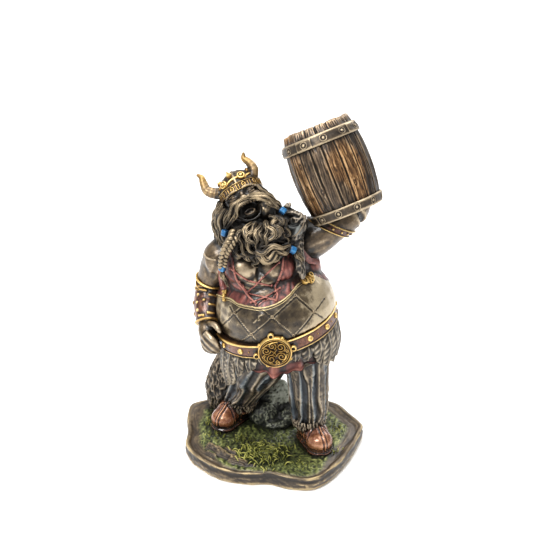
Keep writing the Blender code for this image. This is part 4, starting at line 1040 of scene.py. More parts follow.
def tassets():
    shape = Shape()
    count = 26
    turns = [-180, -157, -142, -129, -117, -106, -86, -75, -53, -32, 0, 45, 90, 135, 180]
    lengths = [19.0, 19.2, 13.4, 8.4, 6.0, 0.0, 0.0, 4.6, 8.2, 16.0, 19.4, 18.0, 17.0, 18.0, 18.0]
    for row in (0, 1):
        for k in range(count):
            angle = 2.0 * math.pi * (k + 0.5 - 0.5 * row) / count
            x, y = math.cos(angle), math.sin(angle)
            top = 67.6 + 5.9 * x
            length = np.interp(math.degrees(math.atan2(y, x)), turns, lengths) + 1.6 + 0.8 * math.sin(9.0 * angle + row)
            if length < 3.5:
                continue
            reach = 25.0 + 0.9 * x - 1.1 * row
            sway = 0.9 * math.sin(7.0 * k + row)
            start = (1.5 + x * (24.2 - row), -2.5 + y * (23.6 - row), top)
            middle = (1.5 + x * (reach + 0.8) - y * sway * 0.5, -2.5 + y * (24.6 - row) + x * sway * 0.5, top - length * 0.5)
            end = (1.5 + x * (reach - 1.0) - y * sway, -2.5 + y * (23.3 - row) + x * sway, top - length)
            leaf(shape, start, middle, end, 2.9 + 1.1 * max(0.0, x), (x, y, 0.15), veins=max(2.0, length / 2.6), seed=k + 40 * row)
    piece(shape, "tassets", TASSET, "painted_leather", reach=0.5)


# Legs

def trousers():
    """Baggy striped legs, with deep upright folds that gather over the boots."""
    shape = Shape()
    right = [(-4.4, 3, 58, 12.8), (-3.8, 4.2, 49, 13.2), (-6.0, 5.6, 42, 12.9), (-8.5, 6.6, 36, 12.1), (-10.5, 7.8, 32, 10.7), (-13.5, 10.6, 25, 9.3), (-15, 12.6, 20.5, 8.4),
             (-15.2, 13.2, 18.0, 6.8)]
    left = [(13.4, 0, 58, 11.8), (14.0, -1.2, 49, 10.7), (14.7, -2, 42, 9.8), (15.2, -3, 33, 9.3), (15.9, -3, 25, 8.4), (15.9, -3, 20.5, 8.0),
            (15.8, -3.2, 18.0, 6.6)]
    for rows, seed in ((right, 2), (left, 9)):
        rows = fine_rows(rows, 10)
        n, sides = len(rows), 146
        a = np.linspace(0, 2 * math.pi, sides, endpoint=False)[None, :]
        t = np.linspace(0, 1, n)[:, None]
        wander = 0.25 * noise(np.stack([np.cos(a) * 3 + 0 * t, np.sin(a) * 3 + 0 * t, t * 4 + 0 * a], -1), 1.0, seed)
        phase = a + wander
        fold = 0.60 * np.cos(9 * phase + 0.3) + 0.34 * np.cos(17 * phase + 1.9 + 2.0 * t) + 0.22 * np.cos(29 * phase + 4 * t)
        fold = np.sign(fold) * np.abs(fold) ** 0.8
        place = np.stack([np.cos(a) * 9 + 0 * t, np.sin(a) * 9 + 0 * t, t * 40 + 0 * a], -1)
        ripple = 0.46 * layers(place, (1.7, 1.7, 2.2), seed + 3) - 0.25 * bump(noise(place, (3.0, 3.0, 2.0), seed + 4), 0.12)
        r = rows[:, 3:4] + fold * (0.75 + 0.35 * t) + ripple - 0.5
        net = np.stack([rows[:, 0:1] + np.cos(a) * r, rows[:, 1:2] + np.sin(a) * r, rows[:, 2:3] + 0 * a], axis=-1)
        stripe = step(-0.3, 0.3, 0.42 + np.cos(9 * phase + 1.6) + 0.6 * noise(place, (1.6, 1.6, 7.0), seed + 7))
        # The figure's right leg is a little darker than the left: painted shade.
        shape.grid(net, round_v=True, tint=stripe, rub=(-0.08 if seed == 2 else -0.02) + 0.10 * fold + 0.20 * layers(place, (1.4, 1.4, 2.4), seed + 5), flip=True)
    piece(shape, "trousers", TROUSER, "painted_cloth", reach=0.7)


BOOTS = [((-17.6, 15.4, 12), (-23.8, 7.0, 11.7), (-15.5, 13.5, 17)), ((16.4, -2.0, 12), (20.4, -12.0, 12), (15.8, -3.5, 18))]


def boots():
    shape = Shape()
    for heel, toe, ankle in BOOTS:
        heel, toe, ankle = (np.array(p, float) for p in (heel, toe, ankle))
        middle = heel * 0.45 + toe * 0.55 + [0, 0, 1.8]
        sweep(shape, [(*heel, 5.6), (*middle, 5.9), (*toe, 5.2)], sides=26)
        ball(shape, toe + [0, 0, 0.3], (6.2, 6.0, 5.2))
        ball(shape, heel + [0, 0, 0.5], (6.0, 5.9, 5.6))
        sweep(shape, [(*(heel + [0, 0, 1]), 6.2), (*ankle, 6.6)], sides=26)
        for place in (heel, heel * 0.67 + toe * 0.33, heel * 0.33 + toe * 0.67, toe):
            ball(shape, place + [0, 0, -3.4], (6.2, 6.2, 3.4))
    obj = cast(shape, "boots", 0.50, 4)
    points, normals, _ = arrays(obj)
    relief = np.zeros(len(points))
    rub = np.zeros(len(points))
    for heel, toe, ankle in BOOTS:
        heel, toe = np.array(heel, float), np.array(toe, float)
        axis = unit((toe - heel) * [1, 1, 0])
        across = (points - heel) @ np.array([-axis[1], axis[0], 0.0])
        along = (points - heel) @ axis
        near = (np.abs(across) < 9) & (along > -9) & (along < 28)
        high = points[:, 2] > 10.5
        seam = np.where(near & high & (along > 2), bump(across - 0.4, 0.55) * 0.5 - 0.25 * bump(np.abs(across - 0.4) - 0.85, 0.4), 0.0)
        relief += seam
        side_seam = np.where(near, bump(along - 8.5 - 0.25 * np.abs(across), 0.5), 0.0)
        relief -= 0.35 * side_seam
        crease = np.where(near, bump(along - 5.0, 3.5) * np.cos(along * 2.4 + across * 0.4), 0.0)
        relief += 0.22 * crease * (points[:, 2] > 9.5)
        rub += 0.15 * seam
    sole = bump(points[:, 2] - 9.4, 0.35)
    relief += -0.4 * sole + 0.16 * (points[:, 2] < 9.1)
    relief += 0.10 * layers(points, 2.5, 4) + 0.05 * layers(points, 0.8, 5)
    move(obj, points + normals * relief[:, None])
    points, _, _ = arrays(obj)
    points[:, 2] = np.maximum(points[:, 2], 6.2)
    move(obj, points)
    tint = np.zeros(len(points))
    finish_piece(obj, BOOT, "painted_leather", tint, rub - 0.55 * (points[:, 2] < 9.2), reach=0.30)
    fur = Shape()
    rng = np.random.default_rng(3)
    for (heel, toe, ankle), radius in zip(BOOTS, (7.1, 7.0)):
        ankle = np.array(ankle, float)
        for k in range(46):
            t = 2 * math.pi * (k + rng.random()) / 46
            for row in (0, 1):
                out = np.array([math.cos(t + row * 0.07), math.sin(t + row * 0.07), 0.0])
                sway = np.array([-out[1], out[0], 0.0]) * (rng.random() - 0.5) * 2.6
                top = ankle + out * (radius - 0.3 * row) + [0, 0, 2.2 - 1.7 * row + 0.6 * rng.random()]
                drop = 1.7 + rng.random() * 1.7
                rows = [(*top, 0.4), (*(top + out * (0.5 + 0.5 * rng.random()) + sway * 0.4 - [0, 0, drop * 0.45]), 0.62),
                        (*(top + out * 0.3 + sway - [0, 0, drop]), 0.14)]
                sweep(fur, rows, sides=6, steps=2, rub=-0.22 + 0.30 * rng.random())
    piece(fur, "boot_fur", FUR, "cast_bronze", reach=0.4)


# Arms

FOREARM = [(-28.9, 5.3, 81.0, 5.7), (-29.6, 0.6, 75.2, 5.6), (-29.3, -5.6, 69.6, 4.5)]
FINGERS = [
    [(-29.8, -13.6, 69.0, 1.5), (-27.2, -16.8, 67.9, 1.4), (-25.2, -16.8, 65.3, 1.3), (-23.8, -15.5, 62.3, 1.0)],
    [(-31.0, -12.8, 67.3, 1.5), (-28.7, -16.0, 65.6, 1.4), (-26.3, -16.2, 63.1, 1.3), (-24.4, -15.0, 60.6, 1.0)],
    [(-31.6, -11.8, 64.7, 1.4), (-29.8, -14.8, 63.3, 1.35), (-27.5, -15.0, 61.4, 1.25), (-25.4, -14.0, 59.4, 0.9)],
    [(-31.4, -10.4, 62.0, 1.2), (-30.3, -13.0, 60.9, 1.2), (-28.3, -13.4, 59.8, 1.1), (-26.6, -12.6, 58.8, 0.8)],
    [(-28.4, -9.6, 71.2, 1.8), (-25.7, -12.8, 72.3, 1.5), (-24.3, -14.5, 71.5, 1.4), (-23.5, -15.0, 69.8, 1.0)],
]


def arms():
    shape = Shape()
    sweep(shape, [(-17, 4, 100, 8.8), (-22.0, 3, 98.0, 8.6), (-26.3, 4.6, 89.5, 7.2), (-28.7, 6, 82, 5.9)], sides=28)
    ball(shape, (-23.4, 1.5, 97.5), (8.0, 7.6, 8.6))
    sweep(shape, [(-28.7, 6, 82, 5.9), (-29.5, 0, 75, 5.3), (-29.3, -6, 69.2, 4.1)], sides=28)
    sweep(shape, [(-29.3, -6, 69.2, 3.9), (-29.7, -9.5, 68.0, 3.8), (-29.0, -12, 65.3, 3.4)], sides=24)
    ball(shape, (-28.2, -11.4, 63.8), (3.3, 2.9, 3.7))
    ball(shape, (-26.2, -6.5, 65.4), (3.0, 3.6, 5.4))
    for finger in FINGERS:
        sweep(shape, finger, sides=14, steps=5)
    sweep(shape, [(9, 5, 102.2, 9.5), (17, 4, 106.6, 8.7), (25.0, 4, 112.2, 7.4), (33.0, 7, 116.2, 6.5)], sides=28)
    sweep(shape, [(33.0, 7, 116.2, 6.5), (36.0, 14.5, 121, 6.2), (34.0, 23, 130, 5.2)], sides=28)
    sweep(shape, [(35.0, 23, 130, 5.0), (32.5, 24.5, 134, 6.0), (29, 25.5, 137.5, 5.0)], sides=24)
    for k in range(4):
        start = (32.0 - 1.2 * k, 26.2, 138.0 + 1.44 * (k - 1.5))
        middle = (27.5 - 1.3 * k, 28.6 - 0.3 * k, 139.6 + 2.1 * (k - 1.5))
        end = (22.0 - 1.5 * k, 28.4 - 0.5 * k, 140.5 + 2.7 * (k - 1.5))
        sweep(shape, [(*start, 2.3), (*middle, 2.1), (*end, 1.7)], sides=14, steps=4)
    obj = cast(shape, "arms", 0.54, 2)
    points, normals, _ = arrays(obj)
    relief = 0.16 * layers(points, 3.2, 5) + 0.06 * layers(points, 0.9, 7)
    for ax, ay, az, bx, by, bz, deep, wide in (
        (-30.5, -1.0, 99.0, -29.0, -3.5, 90.0, 0.25, 1.8), (-24.5, -5.5, 98.5, -27.0, -3.5, 90.5, 0.3, 1.8),
        (15.5, -4.4, 104.0, 22.0, -3.6, 107.0, 0.3, 2.0),
        (-23.0, -6.5, 103.5, -28.5, -4.5, 101.0, 0.35, 1.1),
    ):
        start, end = np.array([ax, ay, az]), np.array([bx, by, bz])
        run = end - start
        t = np.clip((points - start) @ run / (run @ run), 0, 1)
        away = np.linalg.norm(points - start - t[:, None] * run, axis=1)
        relief -= deep * bump(away, wide)
    move(obj, points + normals * relief[:, None])
    glow = 0.20 * layers(points, (5.0, 5.0, 6.0), 6)
    hand = -0.02 * step(71.0, 66.0, points[:, 2]) * (points[:, 0] < -15)
    finish_piece(obj, SKIN, "cast_bronze", None, glow + hand, reach=0.34)
    dots = Shape()
    tree = body_tree(obj)
    for x, v, _ in fine_rows([(-30.0, 90.6, 0), (-29.0, 89.2, 0), (-27.4, 88.5, 0), (-25.4, 88.2, 0)], 4):
        place, _ = on_body(tree, x, v, 0.1)
        ball(dots, place, (0.45, 0.45, 0.45), around=8, down=6, rub=0.1)
    piece(dots, "shoulder_dots", SKIN, "cast_bronze", reach=0.4)
    return tree


def bracer():
    """The leather bracer with gold bars and studs between gold cords, and the spiral armlet above it."""
    rows = fine_rows(FOREARM, 18)
    n, sides = len(rows), 200
    centre, radius = rows[:, :3], rows[:, 3]
    along = rows_unit(np.gradient(centre, axis=0))
    toward = rows_unit(np.array([0.0, -1.0, 0.35]) - along * (along @ np.array([0.0, -1.0, 0.35]))[:, None])
    other = np.cross(along, toward)
    a = np.linspace(-math.pi, math.pi, sides, endpoint=False)[None, :]
    t = np.linspace(0, 1, n)[:, None]
    out = 0.55 + 0 * a + 0.22 * layers(np.stack([np.cos(a) * 6 + 0 * t, np.sin(a) * 6 + 0 * t, t * 18 + 0 * a], -1), 1.7, 4)
    gold = np.zeros(out.shape)
    arc = a * 6.4
    down = t * 15.5
    for around, level, long, thick in (
        (2.6, 2.6, 1.7, 0.52), (-2.2, 4.6, 1.9, 0.52), (-2.8, 9.4, 1.9, 0.52), (3.0, 13.2, 1.6, 0.5),
        (-2.0, 12.6, 1.8, 0.5), (-11.0, 5.0, 2.0, 0.5), (-11.0, 10.0, 2.0, 0.5), (11.0, 7.0, 2.0, 0.5),
    ):
        bar = bump(down - level + 0.10 * (arc - around), thick * 1.7) * step(long + 0.4, long, np.abs(arc - around))
        out = out + 0.75 * bar
        gold = np.maximum(gold, step(0.15, 0.45, bar))
    for around, level in ((5.0, 4.6), (5.2, 7.8), (5.0, 10.8), (1.5, 7.0), (-6.5, 7.2), (-6.8, 11.4), (10.5, 11.0), (15.0, 7.0), (-15.0, 7.0)):
        dome = bump(np.hypot(arc - around, down - level), 0.95)
        out = out + 0.75 * dome
        gold = np.maximum(gold, step(0.10, 0.35, dome))
    for level in (0.6, 15.0):
        cord = bump(down - level, 0.75)
        out = out + 0.8 * cord
        gold = np.maximum(gold, step(0.1, 0.4, cord) + 0 * a)
    out[[0, -1]] = -0.8
    net = centre[:, None, :] + (toward[:, None, :] * np.cos(a)[..., None] + other[:, None, :] * np.sin(a)[..., None]) * (radius[:, None] + out)[..., None]
    shape = Shape()
    shape.grid(net, round_v=True, tint=gold, rub=0.05)
    piece(shape, "bracer", LEATHER, "painted_leather", reach=0.32)
    rings = Shape()
    upper = unit((-0.25, 0.12, -0.96))
    for place, axis, size, cord in (((-27.8, 5.3, 85.6), upper, 6.9, 0.52), ((-28.5, 5.7, 82.4), upper, 6.3, 0.52),
                                    ((-28.9, 5.2, 80.6), (-0.1, -0.3, -0.95), 6.2, 0.45)):
        sweep(rings, ring_rows(place, axis, size, cord, count=60), sides=12, section=twisted(40, 2, 0.10), steps=2)
    piece(rings, "armlet_rings", GOLD, "painted_gold", reach=0.3)
    band = Shape()
    rows = [(-27.6, 5.4, 86.0, 6.5), (-28.2, 5.7, 83.6, 6.3), (-28.8, 5.6, 81.0, 6.1)]
    sweep(band, rows, sides=60, steps=10,
          section=lambda a, share: 1.0 + 0.02 * noise(np.stack([np.cos(a) * 4, np.sin(a) * 4, a * 0 + share * 5], -1), 1.0, 3))
    piece(band, "armlet_band", LEATHER, "painted_leather", reach=0.25)


def armband(tree):
    """The studded band round the raised forearm, laid on the arm between two gold cords."""
    middle, axis = np.array([27.0, 5.0, 110.6]), unit([0.42, 0.15, 0.89])
    toward = unit(np.array([0.0, -1.0, 0.35]) - axis * float(np.dot(axis, [0.0, -1.0, 0.35])))
    other = np.cross(axis, toward)
    sides, wide = 200, 3.6
    a = np.linspace(-math.pi, math.pi, sides, endpoint=False)[None, :]
    t = np.linspace(0, 1, 30)[:, None]
    centre = middle + axis * wide * (t - 0.5)
    spoke = toward * np.cos(a)[..., None] + other * np.sin(a)[..., None]
    radius = np.zeros((len(t), sides))
    for i in range(len(t)):
        for k in range(sides):
            far = centre[i] + spoke[0, k] * 25.0
            hit = tree.ray_cast(Vector(far), Vector(-spoke[0, k]))
            radius[i, k] = 25.0 - hit[3] if hit[0] is not None else 6.0
    radius = np.mean([np.roll(radius, shift, axis=1) for shift in range(-5, 6)], axis=0)
    out = 0.45 + 0.2 * layers(np.stack([np.cos(a) * 7 + 0 * t, np.sin(a) * 7 + 0 * t, t * 7 + 0 * a], -1), 1.5, 4)
    down = t * wide
    gold = np.zeros(out.shape)
    for level, thick in ((0.32, 0.36), (wide - 0.32, 0.36)):
        cord = bump(down - level, thick * 1.5) * (1 + 0.15 * np.cos(a * 60))
        out = out + 0.7 * cord
        gold = np.maximum(gold, step(0.1, 0.4, cord))
    for k in range(14):
        turn = (a - (-math.pi + 2 * math.pi * (k + 0.5) / 14)) * radius
        dome = bump(np.hypot(turn, down - wide / 2), 0.75)
        out = out + 0.8 * dome
        gold = np.maximum(gold, step(0.1, 0.35, dome))
    out[[0, -1]] = -1.0
    net = centre[:, None, :] + spoke * (radius + out)[..., None]
    shape = Shape()
    shape.grid(net, round_v=True, tint=gold, rub=0.05)
    piece(shape, "armband", LEATHER, "painted_leather", reach=0.32)


# Head

def face():
    """A plain broad face with a round nose; its mouth is wide open."""
    shape = Shape()
    head_ball(shape, (0, 0, 0), (8.6, 9.0, 9.4))
    head_ball(shape, (0, 3.0, -6), (8.0, 7.0, 7.5))
    head_ball(shape, (0, 7.4, 1.0), (6.4, 2.2, 1.6))
    head_ball(shape, (0, 8.2, -1.6), (1.2, 1.8, 2.4))
    head_ball(shape, (0, 9.4, -3.4), (1.7, 1.8, 1.6))
    for side in (-1, 1):
        head_ball(shape, (side * 1.5, 8.8, -3.8), (1.1, 1.3, 1.0))
        head_ball(shape, (side * 4.6, 6.8, -3.6), (2.7, 2.2, 2.0))
        head_ball(shape, (side * 8.4, -0.5, -2.0), (1.2, 2.0, 2.8))
    obj = cast(shape, "face", 0.42, 2)
    points, normals, _ = arrays(obj)
    local = points - HEAD
    s, f, u = local @ HEAD_SIDE, local @ HEAD_FRONT, local @ HEAD_UP
    relief = 0.10 * layers(points, 1.6, 3)
    for side in (-1, 1):
        eye = np.hypot((s - side * 3.6) / 1.9, (u + 0.9) / 1.15)
        relief -= 0.9 * bump(eye, 1.25) * (f > 3)
        relief += 0.9 * bump(np.hypot((s - side * 3.6) / 1.35, (u + 1.0) / 0.85), 1.0) * (f > 3)
        line = from_line(s, u, [(side * 1.4, -4.4), (side * 3.4, -5.6), (side * 4.6, -7.8)])
        relief -= 0.5 * bump(line, 0.55) * (f > 2)
        for level in (1.0, 1.9, 2.6):
            relief -= 0.22 * bump(from_line(s, u, [(side * 0.6, level), (side * 5.0, level + 0.3)]), 0.35) * (f > 3)
    relief -= 0.5 * bump(from_line(s, u, [(-0.55, -0.2), (-0.7, 1.6)]), 0.35) * (f > 3)
    relief -= 0.5 * bump(from_line(s, u, [(0.55, -0.2), (0.7, 1.6)]), 0.35) * (f > 3)
    points = points + normals * relief[:, None]
    mouth = np.hypot((s + 0.2) / 6.8, (u + 8.5) / 4.4)
    inside = (mouth < 1.0) & (f > 1.0)
    floor = 9.4 - 6.2 * np.sqrt(np.clip(1.0 - mouth**2, 0, 1)) ** 0.7
    pushed = np.minimum(f, floor)
    points = np.where(inside[:, None], points + HEAD_FRONT * (pushed - f)[:, None], points)
    move(obj, points)
    # The inside of the mouth is darkened as painted shade; the face is also darker from the eyes up, under the helmet,
    # and on one cheek beside the mouth: painted shade.
    rub = np.where(inside, -0.9 * step(1.0, 0.85, mouth), -0.06 - 0.35 * step(-0.8, 0.6, u) - 0.5 * step(-3.6, -5.6, s) * step(-2.0, -4.0, u))
    finish_piece(obj, SKIN, "cast_bronze", None, rub, reach=0.36)
    # The lips, tongue, teeth and the back of the mouth are darkened as painted shade inside the open mouth.
    lips = Shape()
    rows = []
    for k in range(21):
        t = math.pi * (1.0 + k / 20.0)
        rows.append((*head(math.cos(t) * 4.9, 9.0 - 0.4 * math.cos(t) ** 2 - 1.2 * abs(math.sin(t)), -8.8 + math.sin(t) * 4.0), 0.34))
    sweep(lips, rows, sides=14, steps=3, rub=-0.62)
    head_ball(lips, (0.1, 5.2, -10.0), (2.9, 2.6, 1.9), around=24, down=16, rub=-0.70)
    tongue = ring_rows(head(0.1, 8.1, -9.3), HEAD_FRONT * 0.8 + HEAD_UP * 0.6, 2.0, 0.42, count=30, squash=0.72)
    sweep(lips, tongue, sides=8, steps=2, rub=-0.52)
    for k in range(6):
        t = (k - 2.5) * 1.35
        head_ball(lips, (t, 8.2 - abs(t) * 0.25, -5.3 - abs(t) * 0.12), (0.62, 0.5, 0.7), around=10, down=8, rub=-0.3)
    piece(lips, "mouth", SKIN, "cast_bronze", reach=0.35)
    lids = Shape()
    for side in (-1, 1):
        head_ball(lids, (side * 3.6, 7.4, -1.0), (1.25, 0.9, 0.95), around=18, down=12)
        for level, lift in ((0.42, 0.35), (-0.55, -0.35)):
            rows = [(*head(side * 3.6 + across, 8.05 - 0.28 * abs(across), -1.0 + level + lift * (1 - (across / 1.9) ** 2)), 0.34)
                    for across in (-1.9, -1.0, 0.0, 1.0, 1.9)]
            sweep(lids, rows, sides=8, steps=4, rub=0.12)
        for k in range(7):
            across = 0.9 + k * 0.8
            foot = head(side * across, 8.9 - 0.07 * across**2, 0.4 + 0.22 * k - 0.04 * k * k)
            tip = head(side * (across + 1.6), 9.2 - 0.09 * across**2, 1.5 + 0.16 * k - 0.08 * k * k)
            sweep(lids, [(*foot, 0.5), (*((foot + tip) / 2 + HEAD_FRONT * 0.5), 0.55), (*tip, 0.12)], sides=8, steps=4, rub=0.1)
    piece(lids, "eyes_and_brows", SKIN, "cast_bronze", reach=0.3)


def around_head(radius_side, radius_front, centre, angle, out, up):
    """A point round the head: angle 0 at its left, out from the ring and up along the head's axis."""
    s = math.cos(angle) * (radius_side + out)
    f = math.sin(angle) * (radius_front + out)
    return head(centre[0] + s, centre[1] + f, centre[2] + up)


def helmet():
    dome = Shape()
    n, rings = 180, 38
    a = np.linspace(0, 2 * math.pi, n, endpoint=False)[:, None]
    b = np.linspace(-0.12, 0.5 * math.pi - 0.01, rings)[None, :]
    scale = 0.18 * np.cos(a * 18 + np.floor(b * 9) * math.pi) * np.cos(b * 9 * 2 * math.pi) * np.cos(b)
    place = np.stack([np.cos(a) * np.cos(b) * 9, np.sin(a) * np.cos(b) * 9, np.sin(b) * 8 + 0 * a], axis=-1)
    strap = np.maximum(bump((np.abs(np.sin(a - math.pi / 2)) * np.cos(b)) * 9, 1.1), 0)
    out = scale * (1 - strap) + 0.12 * layers(place, 1.6, 5) + 0.45 * strap
    net = HEAD + HEAD_FRONT * 0.2 + HEAD_UP * 3.0
    net = net + (np.cos(a) * np.cos(b) * (8.7 + out))[..., None] * HEAD_SIDE + (np.sin(a) * np.cos(b) * (9.0 + out))[..., None] * HEAD_FRONT
    net = net + (np.sin(b) * (8.3 + out))[..., None] * HEAD_UP
    dome.grid(net, round_u=True)
    piece(dome, "helmet_dome", BRONZE, "cast_bronze", reach=0.3)
    gold = Shape()
    n = 320
    a = np.linspace(0, 2 * math.pi, n, endpoint=False)[:, None]
    t = np.concatenate([[0.0], np.linspace(0, 1, 24), [1.0]])[None, :]
    up = 0.6 + 3.1 * t + 0 * a
    proud = np.ones(t.shape)
    proud[0, [0, -1]] = 0.0
    cell = (a / (2 * math.pi) * 22) % 1.0 - 0.5
    tall = (t - 0.5) * 2
    even = (np.floor(a / (2 * math.pi) * 22) % 2) < 0.5
    ring = bump(np.hypot(cell * 2.4, tall * 1.1) - 0.62, 0.28) + 0.8 * bump(np.hypot(cell * 2.4, tall * 1.1), 0.3)
    bars = bump(np.abs(cell) - 0.2, 0.10) * (np.abs(tall) < 0.72)
    out = 0.55 + 0.5 * (bump(tall - 0.92, 0.16) + bump(tall + 0.92, 0.16)) + np.where(even, 0.5 * ring, 0.42 * bars)
    out = out * proud - (1 - proud) * 1.2
    net = HEAD + HEAD_FRONT * 0.2 + (np.cos(a) * (8.6 + out))[..., None] * HEAD_SIDE + (np.sin(a) * (8.9 + out))[..., None] * HEAD_FRONT + up[..., None] * HEAD_UP
    gold.grid(net, round_u=True)
    rows = []
    for k in range(97):
        angle = 2 * math.pi * k / 96
        rise = 1.5 * abs(math.sin(angle * 3.0 - 0.0)) ** 0.7
        shrink = 0.35 * rise
        rows.append((*around_head(8.55, 8.85, (0, 0.2, 4.7), angle, -shrink, rise), 0.55))
    sweep(gold, rows, sides=10, steps=2, section=twisted(60, 2, 0.08))
    for angle, level in ((0.62 * math.pi, 6.1), (0.30 * math.pi, 5.9), (-0.2 * math.pi, 6.0), (1.15 * math.pi, 6.0), (1.5 * math.pi, 6.0)):
        place = around_head(8.1, 8.4, (0, 0.2, 0.0), angle, 0.2, level)
        out = place - head(0, 0.2, 3.0)
        stud(gold, place, out, 1.75, 0.9, hole=0.55)
        ball(gold, place + unit(out) * 0.5, (0.85, 0.85, 0.85), around=14, down=10)
    for angle, level, long in ((0.44 * math.pi, 8.4, 2.6), (0.95 * math.pi, 9.0, 1.2), (0.02 * math.pi, 9.0, 1.2)):
        place = around_head(6.6, 6.8, (0, 0.2, 0.0), angle, 0.0, level)
        out = unit(place - head(0, 0.2, 2.0))
        sweep(gold, [(*(place - out * 0.5), 1.35), (*(place + out * 0.6), 1.2), (*(place + out * long * 0.6), 0.7), (*(place + out * long), 0.12)],
              sides=12, steps=4)
    piece(gold, "helmet_gold", GOLD, "painted_gold", reach=0.36)
    horns = Shape()
    for rows, seed in (
        ([(-19.0, 2.6, 127.4, 2.5), (-22.2, 3.0, 127.0, 2.5), (-25.0, 3.5, 126.6, 2.4), (-28.6, 4.6, 127.4, 2.1), (-30.2, 6.2, 129.9, 1.75),
          (-31.2, 7.4, 132.2, 1.3), (-33.2, 8.2, 133.3, 0.5)], 1),
        ([(-12.0, 3.0, 130.2, 2.5), (-10.6, 3.2, 131.8, 2.5), (-9.9, 3.5, 133.2, 2.4), (-9.2, 5.0, 136.8, 2.1), (-11.0, 6.6, 139.2, 1.75),
          (-13.2, 7.6, 140.8, 1.3), (-13.4, 8.2, 143.2, 0.5)], 2),
    ):
        # Each horn is lighter on one side and darker on the other: painted highlight and painted shade.
        sweep(horns, rows, sides=28, steps=10, tint=lambda a, s: step(0.50, 0.85, s),
              section=lambda a, s: 1.0 + 0.035 * math.cos(s * 75) * (1 - s) + 0.02 * np.cos(5 * a + 3 * s),
              rub=lambda a, s: -0.04 + 0.14 * np.cos(a - 1.0))
    piece(horns, "helmet_horns", HORN, "painted_gold", reach=0.35)


# Hair and beard

BEARD = [
    (1.35, [(-9.5, -13, 119.7), (-11.6, -16.5, 118.2), (-12.5, -18.5, 115.7),
        (-11.2, -20, 113), (-8.6, -20.8, 111.2), (-6.6, -20.8, 110)]),
    (1.15, [(-7.9, -13, 119.9), (-10, -17, 118.4), (-10.8, -19.2, 116),
        (-9.4, -20.7, 113.9), (-7.5, -21.2, 112.2)]),
    (1.2, [(-11.1, -12.5, 118.7), (-13.5, -16, 117.2), (-14.8, -18, 115.1),
        (-14.3, -19.4, 112.3), (-11.8, -20.2, 109.9), (-9.1, -20.3, 108.6)]),
    (1.2, [(-13.4, -12.2, 118.1), (-15.7, -15, 116.3), (-17, -17, 113.8),
        (-16.5, -18.6, 111.1), (-14.1, -19.6, 109.2), (-11.6, -20, 108.3)]),
    (1.2, [(-15.4, -11.5, 117.4), (-17.3, -14, 115), (-18.3, -16, 112.5),
        (-17.6, -17.5, 110.1), (-15.7, -18.8, 109)]),
    (1.0, [(-5.9, -13.2, 119.8), (-7.3, -17.2, 118.1), (-8.4, -19.6, 115.7),
        (-7.5, -21, 113.4), (-6, -21.2, 111.4)]),
    (1.4, [(-4.2, -13, 120.4), (-2.6, -17, 119.3), (-1.7, -19.2, 117.3),
        (-2.2, -20.4, 114.8), (-4.2, -21, 113)]),
    (1.0, [(-5, -13.2, 119.8), (-3.8, -17.4, 118.6), (-3.5, -19.8, 116.7),
        (-4.4, -21, 114.5), (-5.7, -21.4, 112.7)]),
    (1.2, [(-5.9, -13.5, 118.7), (-5.5, -17.5, 117.4), (-6, -19.5, 115.3),
        (-5.5, -20.5, 112.8), (-5.1, -20.7, 110.1)]),
    (1.3, [(-2, -12.5, 120.6), (0.1, -15.5, 119.5), (0.3, -17.8, 117.1),
        (-0.3, -19.2, 114.3), (-1.7, -20, 112.1)]),
    (0.95, [(-0.1, -11, 122.3), (2.5, -13, 121.2), (0.7, -15, 119.7), (3.6, -16, 117.8),
        (1.5, -17, 115.7), (4.8, -17, 113.6), (3.2, -17.5, 111.6)]),
    (0.95, [(-2.6, -12, 122.5), (0.5, -14, 121.6), (-1.1, -16, 119.9),
        (2, -17.4, 118.2), (-0.3, -18.4, 116.1), (2.8, -18.6, 113.4)]),
    (0.95, [(2.5, -9, 121), (4.5, -10.5, 118.9), (2.9, -12.5, 117.2),
        (5.8, -13.5, 115.2), (4.1, -14.6, 112.7), (6.6, -15, 110.8)]),
    (0.8, [(-1.6, -11.8, 122.2), (1.5, -14, 120.6), (-0.1, -16.2, 118.5),
        (2.8, -16.8, 116.2), (1.1, -17.8, 113.7)]),
    (2.0, [(-7.9, -20.2, 109.1), (-4, -20.6, 108.5), (-0.1, -20.3, 108.9),
        (3.4, -18.5, 110.1), (6.2, -16.5, 109.9)]),
    (1.3, [(-7.9, -20.5, 111.1), (-4.8, -21, 110.9), (-0.5, -21, 112.3), (3, -20, 113), (5.8, -18, 111.6)]),
    (1.2, [(-5.9, -19.6, 107.6), (-2, -19.6, 106.9), (1.5, -18.6, 108), (4.6, -17.2, 109)]),
    (0.7, [(-11, -20, 109.8), (-9.5, -19.6, 107.2), (-9, -19.4, 104.8), (-9.9, -19.4, 103.9)]),
    (0.7, [(-7.9, -20.3, 109.3), (-7.4, -19.8, 106.5), (-8.7, -19.6, 104.4), (-7.6, -19.8, 102.9)]),
    (1.0, [(-13.3, -19.6, 109.8), (-11.6, -19.8, 108.1), (-9.5, -19.8, 107.3), (-7.3, -20.2, 108.3)]),
    (1.0, [(-17.3, -17, 108.8), (-15.3, -18.6, 108), (-12.6, -19.4, 107.4), (-10, -20, 107.9)]),
]

